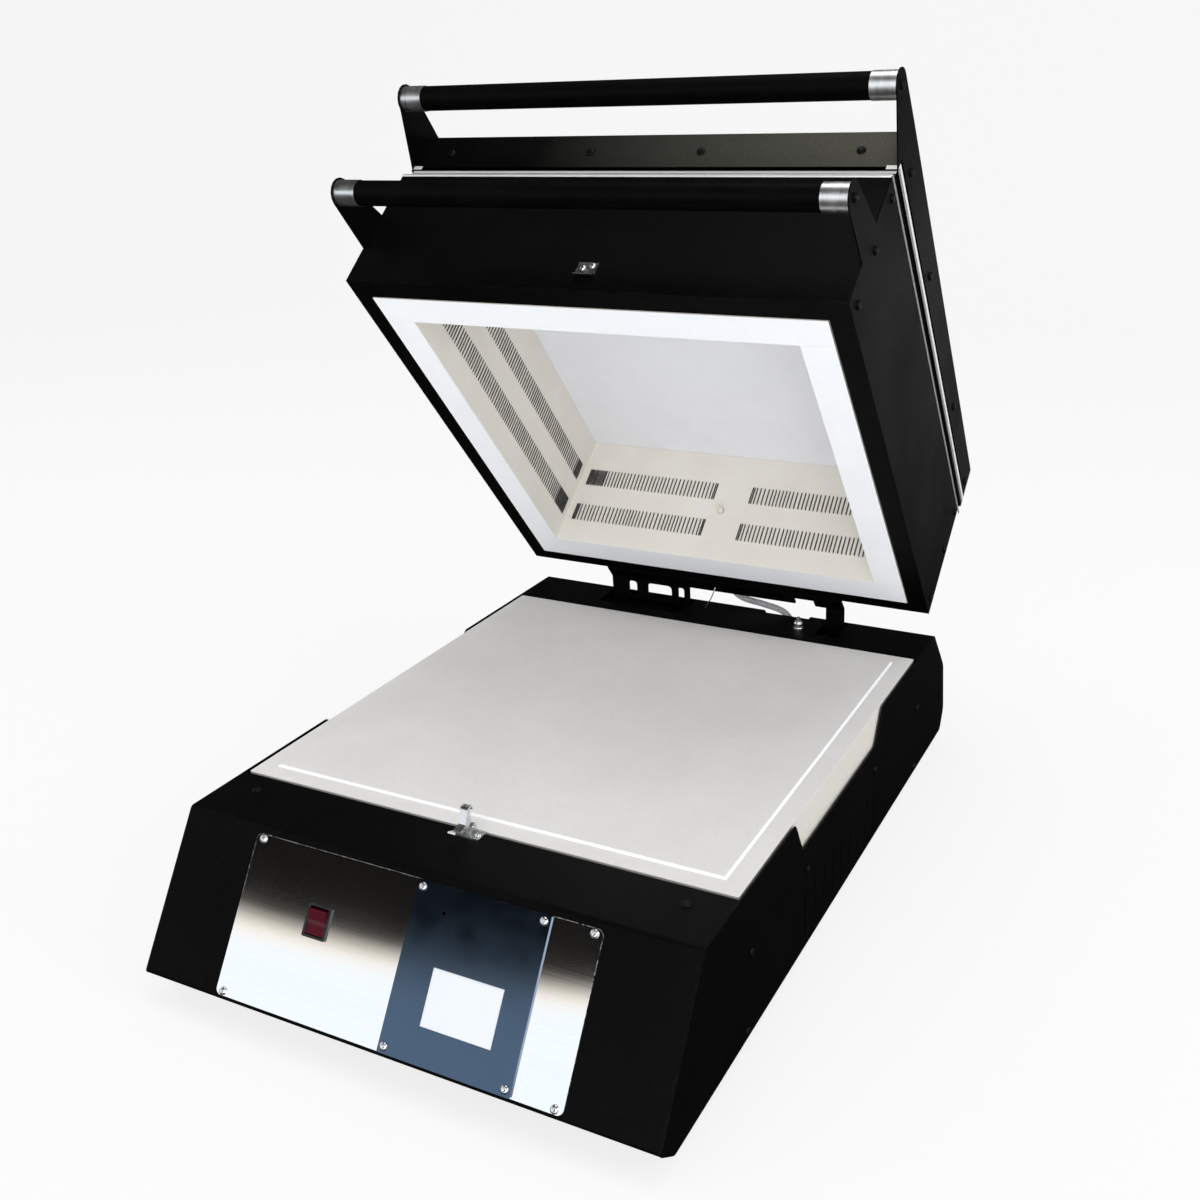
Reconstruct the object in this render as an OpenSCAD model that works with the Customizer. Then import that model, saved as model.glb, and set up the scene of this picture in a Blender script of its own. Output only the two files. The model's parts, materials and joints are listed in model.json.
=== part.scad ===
// Clamshell electric kiln: a low base with a fixed hearth, a heated chamber ring that tilts up
// at the back of the base, and a lid that tilts up at the back of the ring.
// Working axes: X to the right, Y to the rear, Z up, zero at the middle of the hearth's front top edge.
// Ring and lid pieces are drawn as they lie closed, and their placing modules tilt them open.

/* [Pose] */
// Angle at which the chamber ring stands open
ring_open = 49.67; // [0:0.01:55]

/* [Hearth] */
// Width of the hearth slab
slab_w = 530; // [480:1:570]
// Depth of the hearth slab
slab_d = 538; // [500:1:570]
// Thickness of the hearth slab
slab_t = 50; // [44:1:60]
// Width of the low band round the slab's raised field
slab_band = 19.5; // [10:0.5:26]
// Height of the raised field over the band
slab_step = 2; // [0.5:0.1:3]

/* [Base case] */
// Thickness of the steel sheet of the case
sheet_t = 1.5; // [1:0.1:2]
// Height from the hearth's top to the underside of the case
case_h = 155; // [135:1:190]
// Air gap between the slab's sides and the side panels
slab_gap = 2.5; // [1:0.1:5]
// How far the case's top lies under the hearth's top
deck_drop = 1.5; // [0.5:0.1:3]
// Reach of the flat deck in front of the hearth
deck_reach = 78; // [60:1:100]
// Reach of the sloping face in plan
face_run = 87.5; // [70:0.5:110]
// Drop of the sloping face
face_drop = 134; // [120:0.5:136]
// Reach of the bevel under the sloping face
toe_run = 25.5; // [15:0.5:40]
// Distance of the seam between side panels and rear hood in front of the slab's rear edge
seam_back = 23; // [18:1:90]
// Reach of the hood's flat top behind the ring hinge's axis
hood_top = 13.2; // [11.8:0.1:28]
// Reach of the hood's sloping back in plan
hood_run = 56; // [40:1:80]
// Drop of the hood's sloping back
hood_drop = 60.5; // [45:0.5:70]
// Further reach of the hood's lower back
hood_bulge = 16; // [5:1:25]
// Height of the hood's rear corner over the underside of the case
hood_tuck = 25; // [15:1:40]
// Bend radius of the case's sharp corners
bend_r = 5; // [3:0.5:8]

/* [Side panel openings] */
// Place of the front end of the hand notch
notch_y = 128; // [100:1:160]
// Length of the hand notch at the top
notch_len = 274; // [200:1:300]
// Depth of the hand notch under the deck
notch_depth = 38.5; // [20:0.5:42]
// Run of the notch's sloping ends
notch_run = 22; // [10:1:30]
// Number of louvre slots in each side
louvre_n = 9; // [3:1:10]
// Spacing of the louvre slots
louvre_pitch = 27.8; // [15:0.1:30]
// Place of the first louvre slot
louvre_y = 161; // [120:1:180]
// Height of a louvre slot
louvre_h = 55; // [20:1:58]
// Width of a louvre slot
louvre_w = 3; // [2:0.1:5]
// Height of the slots' lower ends over the underside of the case
louvre_lift = 10; // [6:1:20]

/* [Feet] */
// Height of the rubber feet
foot_h = 10; // [6:1:20]
// Radius of a foot at its top
foot_r = 13; // [10:0.5:18]
// Distance of the feet from the case's sides
foot_inset = 33; // [25:1:60]

/* [Control panel] */
// Width of the steel plate on the sloping face
plate_w = 364; // [320:1:400]
// Length of the steel plate down the slope
plate_l = 149; // [140:1:150]
// Thickness of the steel plate
plate_t = 1.2; // [0.8:0.1:2]
// Distance of the plate from the top of the slope
plate_drop = 7; // [6:0.5:8]
// Width of the dark controller panel
panel_w = 133; // [120:1:150]
// Thickness of the controller panel
panel_t = 2; // [1:0.1:3]
// Place of the controller panel's centre along X
panel_x = 67.5; // [60:0.5:80]
// Width of the touch screen
screen_w = 71; // [60:1:90]
// Height of the touch screen
screen_h = 50; // [40:1:60]
// Distance of the screen's centre down the slope
screen_down = 100; // [80:1:110]
// Place of the switch's centre along X
switch_x = -92; // [-120:1:-60]
// Distance of the switch's centre down the slope
switch_down = 68.5; // [40:0.5:100]
// Width of the switch's bezel
switch_w = 25.5; // [20:0.5:30]
// Height of the switch's bezel
switch_h = 30; // [26:0.5:36]
// Angle of the rocker from its middle position
rocker_tilt = 8; // [4:1:9]

/* [Latch] */
// Place of the latch and its catch along X
latch_x = 4; // [-60:1:60]
// Distance of the latch pivot in front of the hearth
latch_pivot_y = 8; // [7:0.5:12]
// Height of the latch pivot over the deck
latch_pivot_h = 8; // [7:0.5:10]
// Width of the latch lever
lever_w = 8; // [6:0.5:12]
// Angle at which the resting lever leans forward, clear of the catch
lever_lean = 4.5; // [3:0.5:8]
// Radius of the latch pin
latch_pin_r = 1.5; // [1:0.1:2]

/* [Chamber ring] */
// Height of the ring's steel case
ring_h = 152; // [150:1:200]
// Depth of the ring's steel case
ring_d = 543; // [520:1:560]
// Width of the ring's case under the base's width
ring_inset = 1; // [0:0.5:4]
// Width of the steel rim under the ring
rim_w = 21; // [15:0.5:30]
// Rise of the rim from its inner to its outer edge
rim_rise = 4; // [2:0.5:6]
// Width of the firing chamber
chamber_w = 424; // [380:1:440]
// Distance of the chamber from the ring's front face
chamber_y = 58; // [50:1:62]
// Distance of the chamber from the ring's rear face
chamber_rear = 61; // [54:1:66]
// Height of the insulation walls
wall_h = 154.4; // [154:0.1:156]
// Height of the lower row of elements
row_low = 42.5; // [30:0.5:60]
// Height of the upper row of elements
row_high = 97; // [85:0.5:115]
// Height of an element groove
groove_h = 22; // [20:0.5:30]
// Depth of an element groove
groove_d = 20; // [16:0.5:26]
// Outer radius of an element coil
coil_r = 9.7; // [6:0.1:9.7]
// Thickness of the element wire
wire_t = 1.6; // [1:0.1:2]
// Spacing of the turns of an element coil
coil_pitch = 4.5; // [4:0.1:9]
// Plain length of the grooves at the chamber's corners
coil_end = 9; // [5:1:20]
// Width of the plain middle between two coils of a long wall
coil_gap = 44; // [20:1:80]
// Place of that middle along X
coil_gap_x = 5; // [-20:1:20]
// Place of the thermocouple along X
sensor_x = -3; // [-40:1:40]
// Height of the thermocouple
sensor_z = 71; // [65:0.5:75]

/* [Handles] */
// Distance of the ring handle in front of the ring
ring_handle_y = 63; // [50:1:80]
// Height of the ring handle
ring_handle_z = 61.5; // [55:0.5:70]
// Distance of the lid handle in front of the ring
lid_handle_y = 47; // [40:1:60]
// Height of the lid handle's axis
lid_handle_z = 213; // [205:0.5:214]
// Radius of the handle's end collars
collar_r = 13; // [10:0.5:14]
// Length of the handle's end collars
collar_l = 25; // [15:1:40]
// Radius of the black grip
grip_r = 12.4; // [9:0.1:13]
// Radius of the rod inside a handle
bar_r = 6; // [4:0.5:8]
// Radius of the horns' round ends
horn_r = 15; // [14:0.5:18]

/* [Lid] */
// Distance by which the lid lies behind the ring's front
lid_y = 9; // [5:0.5:12]
// Depth of the lid's steel case
lid_d = 544; // [530:1:548]
// Height of the lid panels' lower edge at the front
lid_low_front = 168; // [164:0.5:175]
// Height of the lid panels' lower edge at the back
lid_low_back = 162; // [161:0.5:164]
// Height of the lid's front face
lid_face = 50; // [40:1:60]
// Height of the side panels' upper edge at the front
lid_top_front = 228; // [224:0.5:240]
// Height of the side panels' upper edge at the back
lid_top_back = 217; // [212:0.5:220]
// Thickness of the lid's insulation
lid_brick_t = 45; // [30:1:46]
// Depth of the bright band showing under the lid's panels
band_show = 5.5; // [3:0.5:5.5]
// Largest opening angle of the lid
lid_swing = 85; // [60:1:90]

/* [Ring hinge] */
// Least distance of the ring hinge's axis behind the hearth slab
hinge_behind_slab = 64.8; // [62:0.1:68]
// Least distance of the ring hinge's axis behind the ring's case
hinge_behind_ring = 59.8; // [57:0.1:63]
// Depth of the ring hinge's axis under the hearth's top
hinge_drop = 23.6; // [22:0.1:28]
// Radius of the hinge rod
rod_r = 5; // [4:0.1:6]
// Outer radius of the hinge knuckles
knuckle_r = 9; // [8:0.5:10]
// Thickness of the hinge plate
hinge_t = 3; // [2:0.1:4]
// Distance of the hinge plate's ends from the middle
hinge_half = 160; // [140:1:200]
// Width of the narrow right hinge strap
strap_w = 23; // [15:1:40]
// Width of the wide left hinge strap
strap_wide = 112; // [90:1:140]

/* [Lid hinge] */
// Distance of the lid hinge's axis behind the ring's back
lid_pin_out = 15; // [12:0.5:18]
// Least distance of the lid hinge's axis behind the lid's case
lid_pin_clear = 5; // [4.8:0.1:9]
// Height of the lid hinge's axis
lid_pin_z = 155.5; // [155:0.5:157]
// Radius of the lid hinge pins
lid_pin_r = 3; // [2:0.1:4]
// Length of a lid hinge
lid_hinge_l = 66; // [40:1:90]
// Distance of the lid hinges from the middle
lid_hinge_x = 170; // [100:1:220]

/* [Fits] */
// Seam between two neighbouring sheets
seam = 0.2; // [0.1:0.1:0.5]
// Gap between pieces that pass or seat by hand
gap = 0.3; // [0.2:0.1:0.5]
// Radial clearance of a pin or rod in its bore
run = 0.05; // [0.02:0.01:0.1]

/* [Fasteners] */
// Radius of the black case screws' heads
screw_r = 4.4; // [3.5:0.1:5]
// Height of the black case screws' heads
screw_h = 2.6; // [1.5:0.1:3]
// Radius of a screw's shank
shank_r = 2; // [1.5:0.1:2.5]
// Length of a screw's shank
shank_l = 8; // [5:0.5:9]
// Radius of the bright panel screws' heads
panel_screw_r = 3.6; // [3:0.1:4.5]

/* [Hidden] */
$fn = 48;

case_w = slab_w + 2 * (slab_gap + sheet_t);
inner_w = case_w - 2 * sheet_t - 2 * seam;
deck_z = -deck_drop;
pan_top = -case_h + sheet_t;
stand_h = case_h + foot_h;
hood_y = slab_d + slab_gap;
seam_y = slab_d - seam_back;
hinge_y = max(slab_d + hinge_behind_slab, ring_d + hinge_behind_ring);

face_tilt = atan2(face_drop, face_run);
face_l = norm([face_run, face_drop]);
face_foot = [-deck_reach - face_run, deck_z - face_drop];
toe_y = face_foot[0] + toe_run;

hood_edge = [hinge_y + hood_top, deck_z];
hood_bend = hood_edge + [hood_run, -hood_drop];
hood_low = [hood_bend[0] + hood_bulge, -case_h + hood_tuck];
hood_foot = hood_low[0] - 12;
lip_l = 14;

tray_flange = 30;
beam_y = hinge_y;
beam_top = -62;
beam_w = 44;
beam_h = 30;

latch_y = -latch_pivot_y;
latch_z = deck_z + latch_pivot_h;

hinge_z = -hinge_drop;
hinge = [hinge_y, hinge_z];
ring_w = case_w - 2 * ring_inset;
ring_inner_w = ring_w - 2 * sheet_t - 2 * seam;
brick_low = gap;
brick_gap = 3.4;
flange_w = 24;
brick_y0 = sheet_t + brick_gap;
brick_y1 = ring_d - sheet_t - brick_gap;
brick_half = ring_w / 2 - sheet_t - brick_gap;
chamber_back = ring_d - chamber_rear;
chamber_d = chamber_back - chamber_y;
coil_axis = groove_d - coil_r - gap;
coil_sink = groove_h / 2 - coil_r - gap;

lid_back = lid_y + lid_d;
lid_face_top = lid_low_front + lid_face;
lid_brick_z = wall_h + gap;
lid_brick_gap = 4;
lid_pin = [max(ring_d + lid_pin_out, lid_back + lid_pin_clear), lid_pin_z];

front_y = -(deck_reach + (plate_drop + plate_l) * cos(face_tilt) + (plate_t + panel_t) * sin(face_tilt));
rear_y = max(hood_low[0] + 7,
    hinge_y + (lid_back - hinge_y) * cos(ring_open) + (lid_top_back - hinge_z) * sin(ring_open));
mid_y = (front_y + rear_y) / 2;

base_side_screws = [[20, -68], [seam_y - 351, -68], [seam_y - 135, -68], [13, -146]];
hood_side_screws = [[seam_y + 33, -68], [seam_y + 33, -146]];
deck_screws = [[-230, -29], [230, -29]];
ring_side_screws = [[16, 139], [18, 79], [20, 18]];
ring_back_screws = [[ring_d - 12, 139], [ring_d - 12, 85], [ring_d - 12, 18]];
lid_side_screws = [[lid_y + 32, 197], [lid_back - 372, 197], [lid_back - 155, 197], [lid_back - 15, 190]];
lid_face_screws = [-227, -58, 65, 227];
plate_screws = [-140, -60, 60, 140];
plate_screw_z = 36;
leaf_screws = [[-22, 120], [22, 120], [-22, 133], [22, 133]];
strap_screws = [[-22, 184], [22, 184], [-22, 194], [22, 194]];
plate_corners = [[-174, -145], [174, -145], [174, -4.5], [-174, -4.5]];

// Points and outlines

function unit(v) = v / norm(v);
function turn(v) = [-v[1], v[0]];

// Arc that rounds the corner b between a and c
function fillet(a, b, c, r, n = 5) =
    let (
        u = unit(a - b),
        v = unit(c - b),
        half = acos(max(-1, min(1, u * v))) / 2,
        centre = b + unit(u + v) * r / sin(half),
        start = b + u * r / tan(half) - centre,
        end = b + v * r / tan(half) - centre,
        a0 = atan2(start[1], start[0]),
        sweep = atan2(start[0] * end[1] - start[1] * end[0], start * end)
    )
    [for (i = [0:n]) centre + r * [cos(a0 + sweep * i / n), sin(a0 + sweep * i / n)]];

// Closed outline with its corners rounded
function rounded(pts, radii) =
    let (n = len(pts))
    [for (i = [0:n - 1]) each
        radii[i] == 0 ? [pts[i]] : fillet(pts[(i + n - 1) % n], pts[i], pts[(i + 1) % n], radii[i])];

// Open path with its inner corners rounded
function bent(pts, radii) =
    [for (i = [0:len(pts) - 1]) each
        radii[i] == 0 ? [pts[i]] : fillet(pts[i - 1], pts[i], pts[i + 1], radii[i])];

// The path moved to its left by t
function beside(p, t) =
    let (last = len(p) - 1)
    [for (i = [0:last])
        let (
            n1 = turn(unit(i == 0 ? p[1] - p[0] : p[i] - p[i - 1])),
            n2 = turn(unit(i == last ? p[last] - p[last - 1] : p[i + 1] - p[i]))
        )
        p[i] + t * (n1 + n2) / (1 + n1 * n2)];

function reversed(p) = [for (i = [len(p) - 1:-1:0]) p[i]];

// Section of a sheet bent along a path, its thickness to the path's left
module bent_sheet(path, t) {
    polygon(concat(path, reversed(beside(path, t))));
}

// A section in Y and Z, drawn out along X about its middle
module along_x(w) {
    rotate([90, 0, 90]) linear_extrude(w, center = true) children();
}

// Round bar along X
module bar_x(r, w) {
    rotate([0, 90, 0]) cylinder(r = r, h = w, center = true);
}

module rounded_plate(w, h, r) {
    square([w - 2 * r, h], center = true);
    square([w, h - 2 * r], center = true);
    for (i = [-1, 1], j = [-1, 1]) translate([i * (w / 2 - r), j * (h / 2 - r)]) circle(r = r);
}

// Box from its two corners
module block(a, b) {
    translate(a) cube(b - a);
}

// Rectangular frame whose rails have one section, drawn in u inward and v upward, with mitred corners
module mitred_frame(w, d) {
    for (k = [0:3]) {
        rail = k % 2 == 0 ? w : d;
        reach = k % 2 == 0 ? d : w;
        depth = 0.4 * min(rail, reach);
        rotate([0, 0, 90 * k]) translate([0, -reach / 2, 0]) intersection() {
            along_x(rail) children();
            translate([0, 0, -250]) linear_extrude(500)
                polygon([[-rail / 2, 0], [rail / 2, 0], [rail / 2 - depth, depth], [depth - rail / 2, depth]]);
        }
    }
}

// Tube with flat ends swept along points in space
module swept_tube(path, r, sides) {
    last = len(path) - 1;
    rings = [for (i = [0:last])
        let (
            ahead = path[min(i + 1, last)] - path[max(i - 1, 0)],
            d = ahead / norm(ahead),
            side = cross(d, [0.1, 0.2, 1]),
            u = side / norm(side),
            v = cross(u, d)
        )
        each [for (k = [0:sides - 1]) path[i] + r * (u * cos(360 * k / sides) + v * sin(360 * k / sides))]];
    walls = [for (i = [0:last - 1], k = [0:sides - 1])
        let (a = i * sides + k, b = i * sides + (k + 1) % sides)
        [a, b, b + sides, a + sides]];
    polyhedron(rings, concat([[for (k = [sides - 1:-1:0]) k]], walls,
        [[for (k = [0:sides - 1]) last * sides + k]]), convexity = 4);
}

// Fasteners and their holes, pointing up from the sheet they hold

module pan_screw(r, h, l = shank_l) {
    rotate_extrude() polygon(concat(
        [[0, -l], [shank_r, -l], [shank_r, 0], [r, 0], [r, 0.35 * h]],
        [[0.82 * r, 0.75 * h], [0.5 * r, h], [0, h]]));
}

module screw_hole(l = 6) {
    cylinder(r = shank_r + gap, h = l, center = true);
}

// Places a child on the outer face of a side, at each point in Y and Z
module on_side(side, half, pts) {
    for (p = pts) translate([side * half, p[0], p[1]]) rotate([0, side * 90, 0]) children();
}

// Placing of the bodies

module on_base() {
    translate([0, -mid_y, stand_h]) children();
}

module on_ring() {
    on_base() translate([0, hinge_y, hinge_z]) rotate([-ring_open, 0, 0]) translate([0, -hinge_y, -hinge_z])
        children();
}

// Local frame of the sloping face: X to the right, Y up the slope, Z outward, zero at the slope's top
module on_face() {
    translate([0, -deck_reach, deck_z]) rotate([face_tilt, 0, 0]) children();
}

module on_plate() {
    on_face() translate([0, -plate_drop, 0]) children();
}

// Base case

module side_outline() {
    polygon(rounded(
        [[seam_y, deck_z], [notch_y + notch_len, deck_z], [notch_y + notch_len - notch_run, deck_z - notch_depth],
         [notch_y + notch_run, deck_z - notch_depth], [notch_y, deck_z], [-deck_reach, deck_z],
         face_foot, [toe_y, -case_h], [seam_y, -case_h]],
        [0, 9, 5, 3, 5, bend_r, 4, 10, 0]));
}

module base_side(side) {
    half = case_w / 2;
    difference() {
        translate([side * (half - sheet_t / 2), 0, 0]) along_x(sheet_t) difference() {
            side_outline();
            for (i = [0:louvre_n - 1]) translate([louvre_y + i * louvre_pitch, -case_h + louvre_lift]) {
                translate([-louvre_w / 2, louvre_w / 2]) square([louvre_w, louvre_h - louvre_w]);
                translate([0, louvre_w / 2]) circle(r = louvre_w / 2);
                translate([0, louvre_h - louvre_w / 2]) circle(r = louvre_w / 2);
            }
        }
        on_side(side, half, base_side_screws) screw_hole();
    }
}

module base_side_left() { color("#1c1d1f") on_base() base_side(-1); }
module base_side_right() { color("#1c1d1f") on_base() base_side(1); }

module front_cover() {
    path = bent(
        [[-slab_gap, -30], [-slab_gap, deck_z], [-deck_reach, deck_z], face_foot, [toe_y, pan_top],
         [toe_y + lip_l, pan_top]],
        [0, 2, bend_r, 4, 8, 0]);
    color("#1b1c1e") on_base() difference() {
        along_x(inner_w) bent_sheet(path, sheet_t);
        for (p = deck_screws) translate([p[0], p[1], deck_z]) screw_hole();
        on_plate() {
            translate([panel_x, -plate_l / 2, 0]) cube([panel_w - 20, plate_l - 24, 12], center = true);
            translate([switch_x, plate_drop - switch_down, 0])
                cube([switch_w - 3, switch_h - 3, 12], center = true);
            for (p = plate_corners) translate([p[0], p[1], 0]) screw_hole();
            panel_corners() screw_hole();
        }
        latch_screw_places() screw_hole();
    }
}

module floor_pan() {
    flange_h = 16;
    color("#2a2b2d") on_base() difference() {
        union() {
            block([-inner_w / 2, toe_y + 4, -case_h], [inner_w / 2, hood_foot - 8, pan_top]);
            for (s = [-1, 1]) translate([s * (inner_w - sheet_t) / 2, 0, -case_h])
                translate([-sheet_t / 2, toe_y + lip_l + 4, 0])
                    cube([sheet_t, hood_foot - lip_l - 16 - toe_y - lip_l, flange_h]);
        }
        for (s = [-1, 1]) on_side(s, inner_w / 2, [base_side_screws[3], hood_side_screws[1]]) screw_hole(8);
        foot_places() cylinder(r = shank_r + gap, h = 12, center = true);
    }
}

module hood_outline(low) {
    polygon(rounded([[seam_y + seam, deck_z], hood_edge, hood_bend, hood_low, [hood_foot, low], [seam_y + seam, low]],
        [0, bend_r, 25, 20, 9, 0]));
}

module rear_hood() {
    path = bent(
        [[hood_y, -30], [hood_y, deck_z], hood_edge, hood_bend, hood_low, [hood_foot, pan_top],
         [hood_foot - lip_l, pan_top]],
        [0, 2, bend_r, 25, 20, 8, 0]);
    color("#1c1d1f") on_base() difference() {
        union() {
            along_x(case_w - sheet_t) bent_sheet(path, -sheet_t);
            for (s = [-1, 1]) translate([s * (case_w - sheet_t) / 2, 0, 0]) along_x(sheet_t) hood_outline(-case_h);
        }
        for (s = [-1, 1]) on_side(s, case_w / 2, hood_side_screws) screw_hole();
        strap_slots();
        translate([hood_bolt_x, hood_bolt_y, deck_z]) cylinder(r = 3 + gap, h = 8, center = true);
        lead_notch();
        on_inlet() cylinder(r = inlet_r + gap, h = 10, center = true);
    }
}

// Slots in the hood's top that the hinge straps swing through
module strap_slots() {
    margin = 3;
    slot_y0 = hinge_y - 42;
    slot_y1 = hood_edge[0] - 4;
    for (span = [[-hinge_half, strap_wide], [hinge_half - strap_w, strap_w]])
        block([span[0] - margin, slot_y0, deck_z - 4], [span[0] + span[1] + margin, slot_y1, deck_z + 1]);
}

// Shallow notch in the hood's rear edge where the sensor lead goes down
module lead_notch() {
    block([50, hood_edge[0] - 9, deck_z - 7], [112, hood_edge[0] + 12, deck_z + 1]);
}

module hearth_slab() {
    field_z = -slab_step;
    bevel = slab_step;
    color("#e9e7e3") on_base() {
        translate([0, 0, -slab_t]) linear_extrude(slab_t - slab_step)
            translate([0, slab_d / 2]) rounded_plate(slab_w, slab_d, 2);
        intersection() {
            along_x(slab_w) polygon([[slab_band, field_z], [slab_d - slab_band, field_z],
                [slab_d - slab_band - bevel, 0], [slab_band + bevel, 0]]);
            rotate([90, 0, 0]) translate([0, 0, -slab_d]) linear_extrude(slab_d)
                polygon([[slab_band - slab_w / 2, field_z], [slab_w / 2 - slab_band, field_z],
                    [slab_w / 2 - slab_band - bevel, 0], [slab_band + bevel - slab_w / 2, 0]]);
        }
    }
}

// Tray that carries the slab, on two channels that stand on the floor pan
module slab_tray() {
    rail_x = 170;
    rail_flange = 24;
    rail_l = slab_d - 98;
    tray_z = -slab_t - sheet_t;
    color("#8f9498") on_base() difference() {
        union() {
            block([-inner_w / 2, 3, tray_z], [inner_w / 2, slab_d - 3, -slab_t]);
            for (s = [-1, 1]) {
                translate([s * (inner_w - sheet_t) / 2, 3, tray_z - tray_flange])
                    translate([-sheet_t / 2, 0, 0]) cube([sheet_t, slab_d - 26, tray_flange + 0.5]);
                translate([s * rail_x, 40, pan_top]) {
                    cube([sheet_t, rail_l, tray_z - pan_top + 0.5]);
                    cube([rail_flange, rail_l, sheet_t]);
                }
            }
        }
        for (s = [-1, 1]) on_side(s, inner_w / 2, [for (i = [0:2]) base_side_screws[i]]) screw_hole(8);
    }
}

module foot_places() {
    for (s = [-1, 1], y = [toe_y + 22, slab_d * 0.576, hood_foot - 36])
        translate([s * (case_w / 2 - foot_inset), y, -case_h]) children();
}

module feet() {
    taper = 2;
    color("#17181a") on_base() foot_places() rotate_extrude() polygon([
        [0, -foot_h + 3], [4, -foot_h + 3], [4, -foot_h], [foot_r - taper, -foot_h], [foot_r, -2], [foot_r, 0],
        [shank_r, 0], [shank_r, 6], [0, 6]]);
}

module base_screws() {
    color("#222326") on_base() {
        for (s = [-1, 1]) on_side(s, case_w / 2, concat(base_side_screws, hood_side_screws))
            pan_screw(screw_r, screw_h);
        for (p = deck_screws) translate([p[0], p[1], deck_z]) pan_screw(screw_r, screw_h);
    }
}

// Control panel on the sloping face

module panel_corners() {
    inset = 6;
    for (i = [-1, 1], j = [-1, 1])
        translate([panel_x + i * (panel_w / 2 - inset), j * (plate_l / 2 - inset) - plate_l / 2, 0]) children();
}

module control_plate() {
    corner = 6;
    color("#b9bbbd") on_base() on_plate() difference() {
        translate([0, -plate_l / 2, 0]) linear_extrude(plate_t) rounded_plate(plate_w, plate_l, corner);
        translate([panel_x, -plate_l / 2, 0]) cube([panel_w - 20, plate_l - 24, 12], center = true);
        translate([switch_x, plate_drop - switch_down, 0])
            cube([switch_w - 3, switch_h - 3, 12], center = true);
        for (p = plate_corners) translate([p[0], p[1], 0]) screw_hole();
        panel_corners() screw_hole();
    }
}

module controller_panel() {
    color("#2b2d31") on_base() on_plate() difference() {
        translate([panel_x, -plate_l / 2, plate_t]) linear_extrude(panel_t) rounded_plate(panel_w, plate_l, 1.5);
        translate([panel_x + 4, plate_drop - screen_down, 0]) cube([screen_w, screen_h, 12], center = true);
        translate([panel_x + 4 - 38, plate_drop - 30, 0]) cylinder(r = 1.6, h = 12, center = true);
        translate([0, 0, 2]) panel_corners() screw_hole();
    }
}

module touch_screen() {
    glass_t = 3;
    color("#f4f5f7") on_base() on_plate()
        translate([panel_x + 4, plate_drop - screen_down, plate_t + panel_t - 0.6 - glass_t / 2])
            cube([screen_w - 2 * seam, screen_h - 2 * seam, glass_t], center = true);
}

// Circuit board behind the controller panel, on four pillars
module controller_board() {
    board_t = 1.6;
    board_w = panel_w - 26;
    board_l = plate_l - 30;
    back = -16;
    color("#1d5a3a") on_base() on_plate() translate([panel_x, -plate_l / 2, 0]) {
        translate([0, 0, back]) cube([board_w, board_l, board_t], center = true);
        for (i = [-1, 1], j = [-1, 1]) translate([i * (board_w / 2 - 5), j * (board_l / 2 - 5), back])
            cylinder(r = 2.5, h = plate_t - back);
        translate([4, 0, back]) {
            translate([-screen_w / 2, plate_l / 2 + plate_drop - screen_down - screen_h / 2, 0])
                cube([screen_w, screen_h, plate_t + panel_t - 3.6 - back]);
            translate([-40, 25, -10]) cube([60, 18, 10]);
            translate([-35, -50, -14]) cube([22, 22, 14]);
        }
    }
}

module on_switch() {
    on_plate() translate([switch_x, plate_drop - switch_down, plate_t]) children();
}

rocker_w = switch_w - 6;
rocker_pivot = -3;
rocker_pin_r = 1.5;

module switch_bezel() {
    body_w = switch_w - 3.4;
    body_h = switch_h - 3.4;
    depth = 20;
    color("#141517") on_base() on_switch() difference() {
        union() {
            linear_extrude(2) rounded_plate(switch_w, switch_h, 1.5);
            translate([-body_w / 2, -body_h / 2, -depth]) cube([body_w, body_h, depth + 1]);
            for (i = [-1, 1]) translate([i * 6 - 3, -0.5, -depth - 7]) cube([5, 1, 8]);
        }
        translate([-rocker_w / 2 - gap, -switch_h / 2 + 2.2, -depth + 3]) cube([rocker_w + 2 * gap, switch_h - 4.4, depth]);
        translate([0, 0, rocker_pivot]) bar_x(rocker_pin_r + run, rocker_w + 4);
    }
}

module power_rocker() {
    half_l = switch_h / 2 - 3.6;
    color("#b3161c") on_base() on_switch() translate([0, 0, rocker_pivot]) rotate([rocker_tilt, 0, 0]) {
        along_x(rocker_w) polygon(bent(
            [[-half_l, -2], [-half_l, 6.4], [0, 4.6], [half_l, 6.4], [half_l, -2], [5, -7], [-5, -7]],
            [0, 0.8, 16, 0.8, 0, 0, 0]));
        bar_x(rocker_pin_r, rocker_w + 2.6);
    }
}

module panel_screws() {
    color("#8b8f93") on_base() {
        on_plate() {
            for (p = plate_corners) translate([p[0], p[1], plate_t]) pan_screw(panel_screw_r, 2);
            panel_corners() translate([0, 0, plate_t + panel_t]) pan_screw(panel_screw_r, 2);
        }
        latch_screw_places() translate([0, 0, 1.5]) pan_screw(panel_screw_r - 0.4, 2);
    }
}

// Electrical parts on the floor pan

module power_relays() {
    color("#24262b") on_base() for (i = [0, 1]) translate([-120 + 80 * i, 110, pan_top]) {
        cube([58, 45, 4]);
        translate([4, 4, 0]) cube([50, 37, 28]);
        for (j = [0:3]) translate([10 + 11 * j, 18, 28]) cube([6, 1, 9]);
    }
}

module transformer() {
    color("#7d6a3c") on_base() translate([80, 110, pan_top]) {
        difference() {
            cube([60, 24, 52]);
            for (x = [10, 38]) translate([x, -1, 10]) cube([12, 26, 32]);
        }
        translate([9, -8, 10.2]) cube([14, 40, 31.6]);
        translate([37, -8, 10.2]) cube([14, 40, 31.6]);
        translate([-8, 4, 0]) cube([76, 16, 2]);
    }
}

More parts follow.
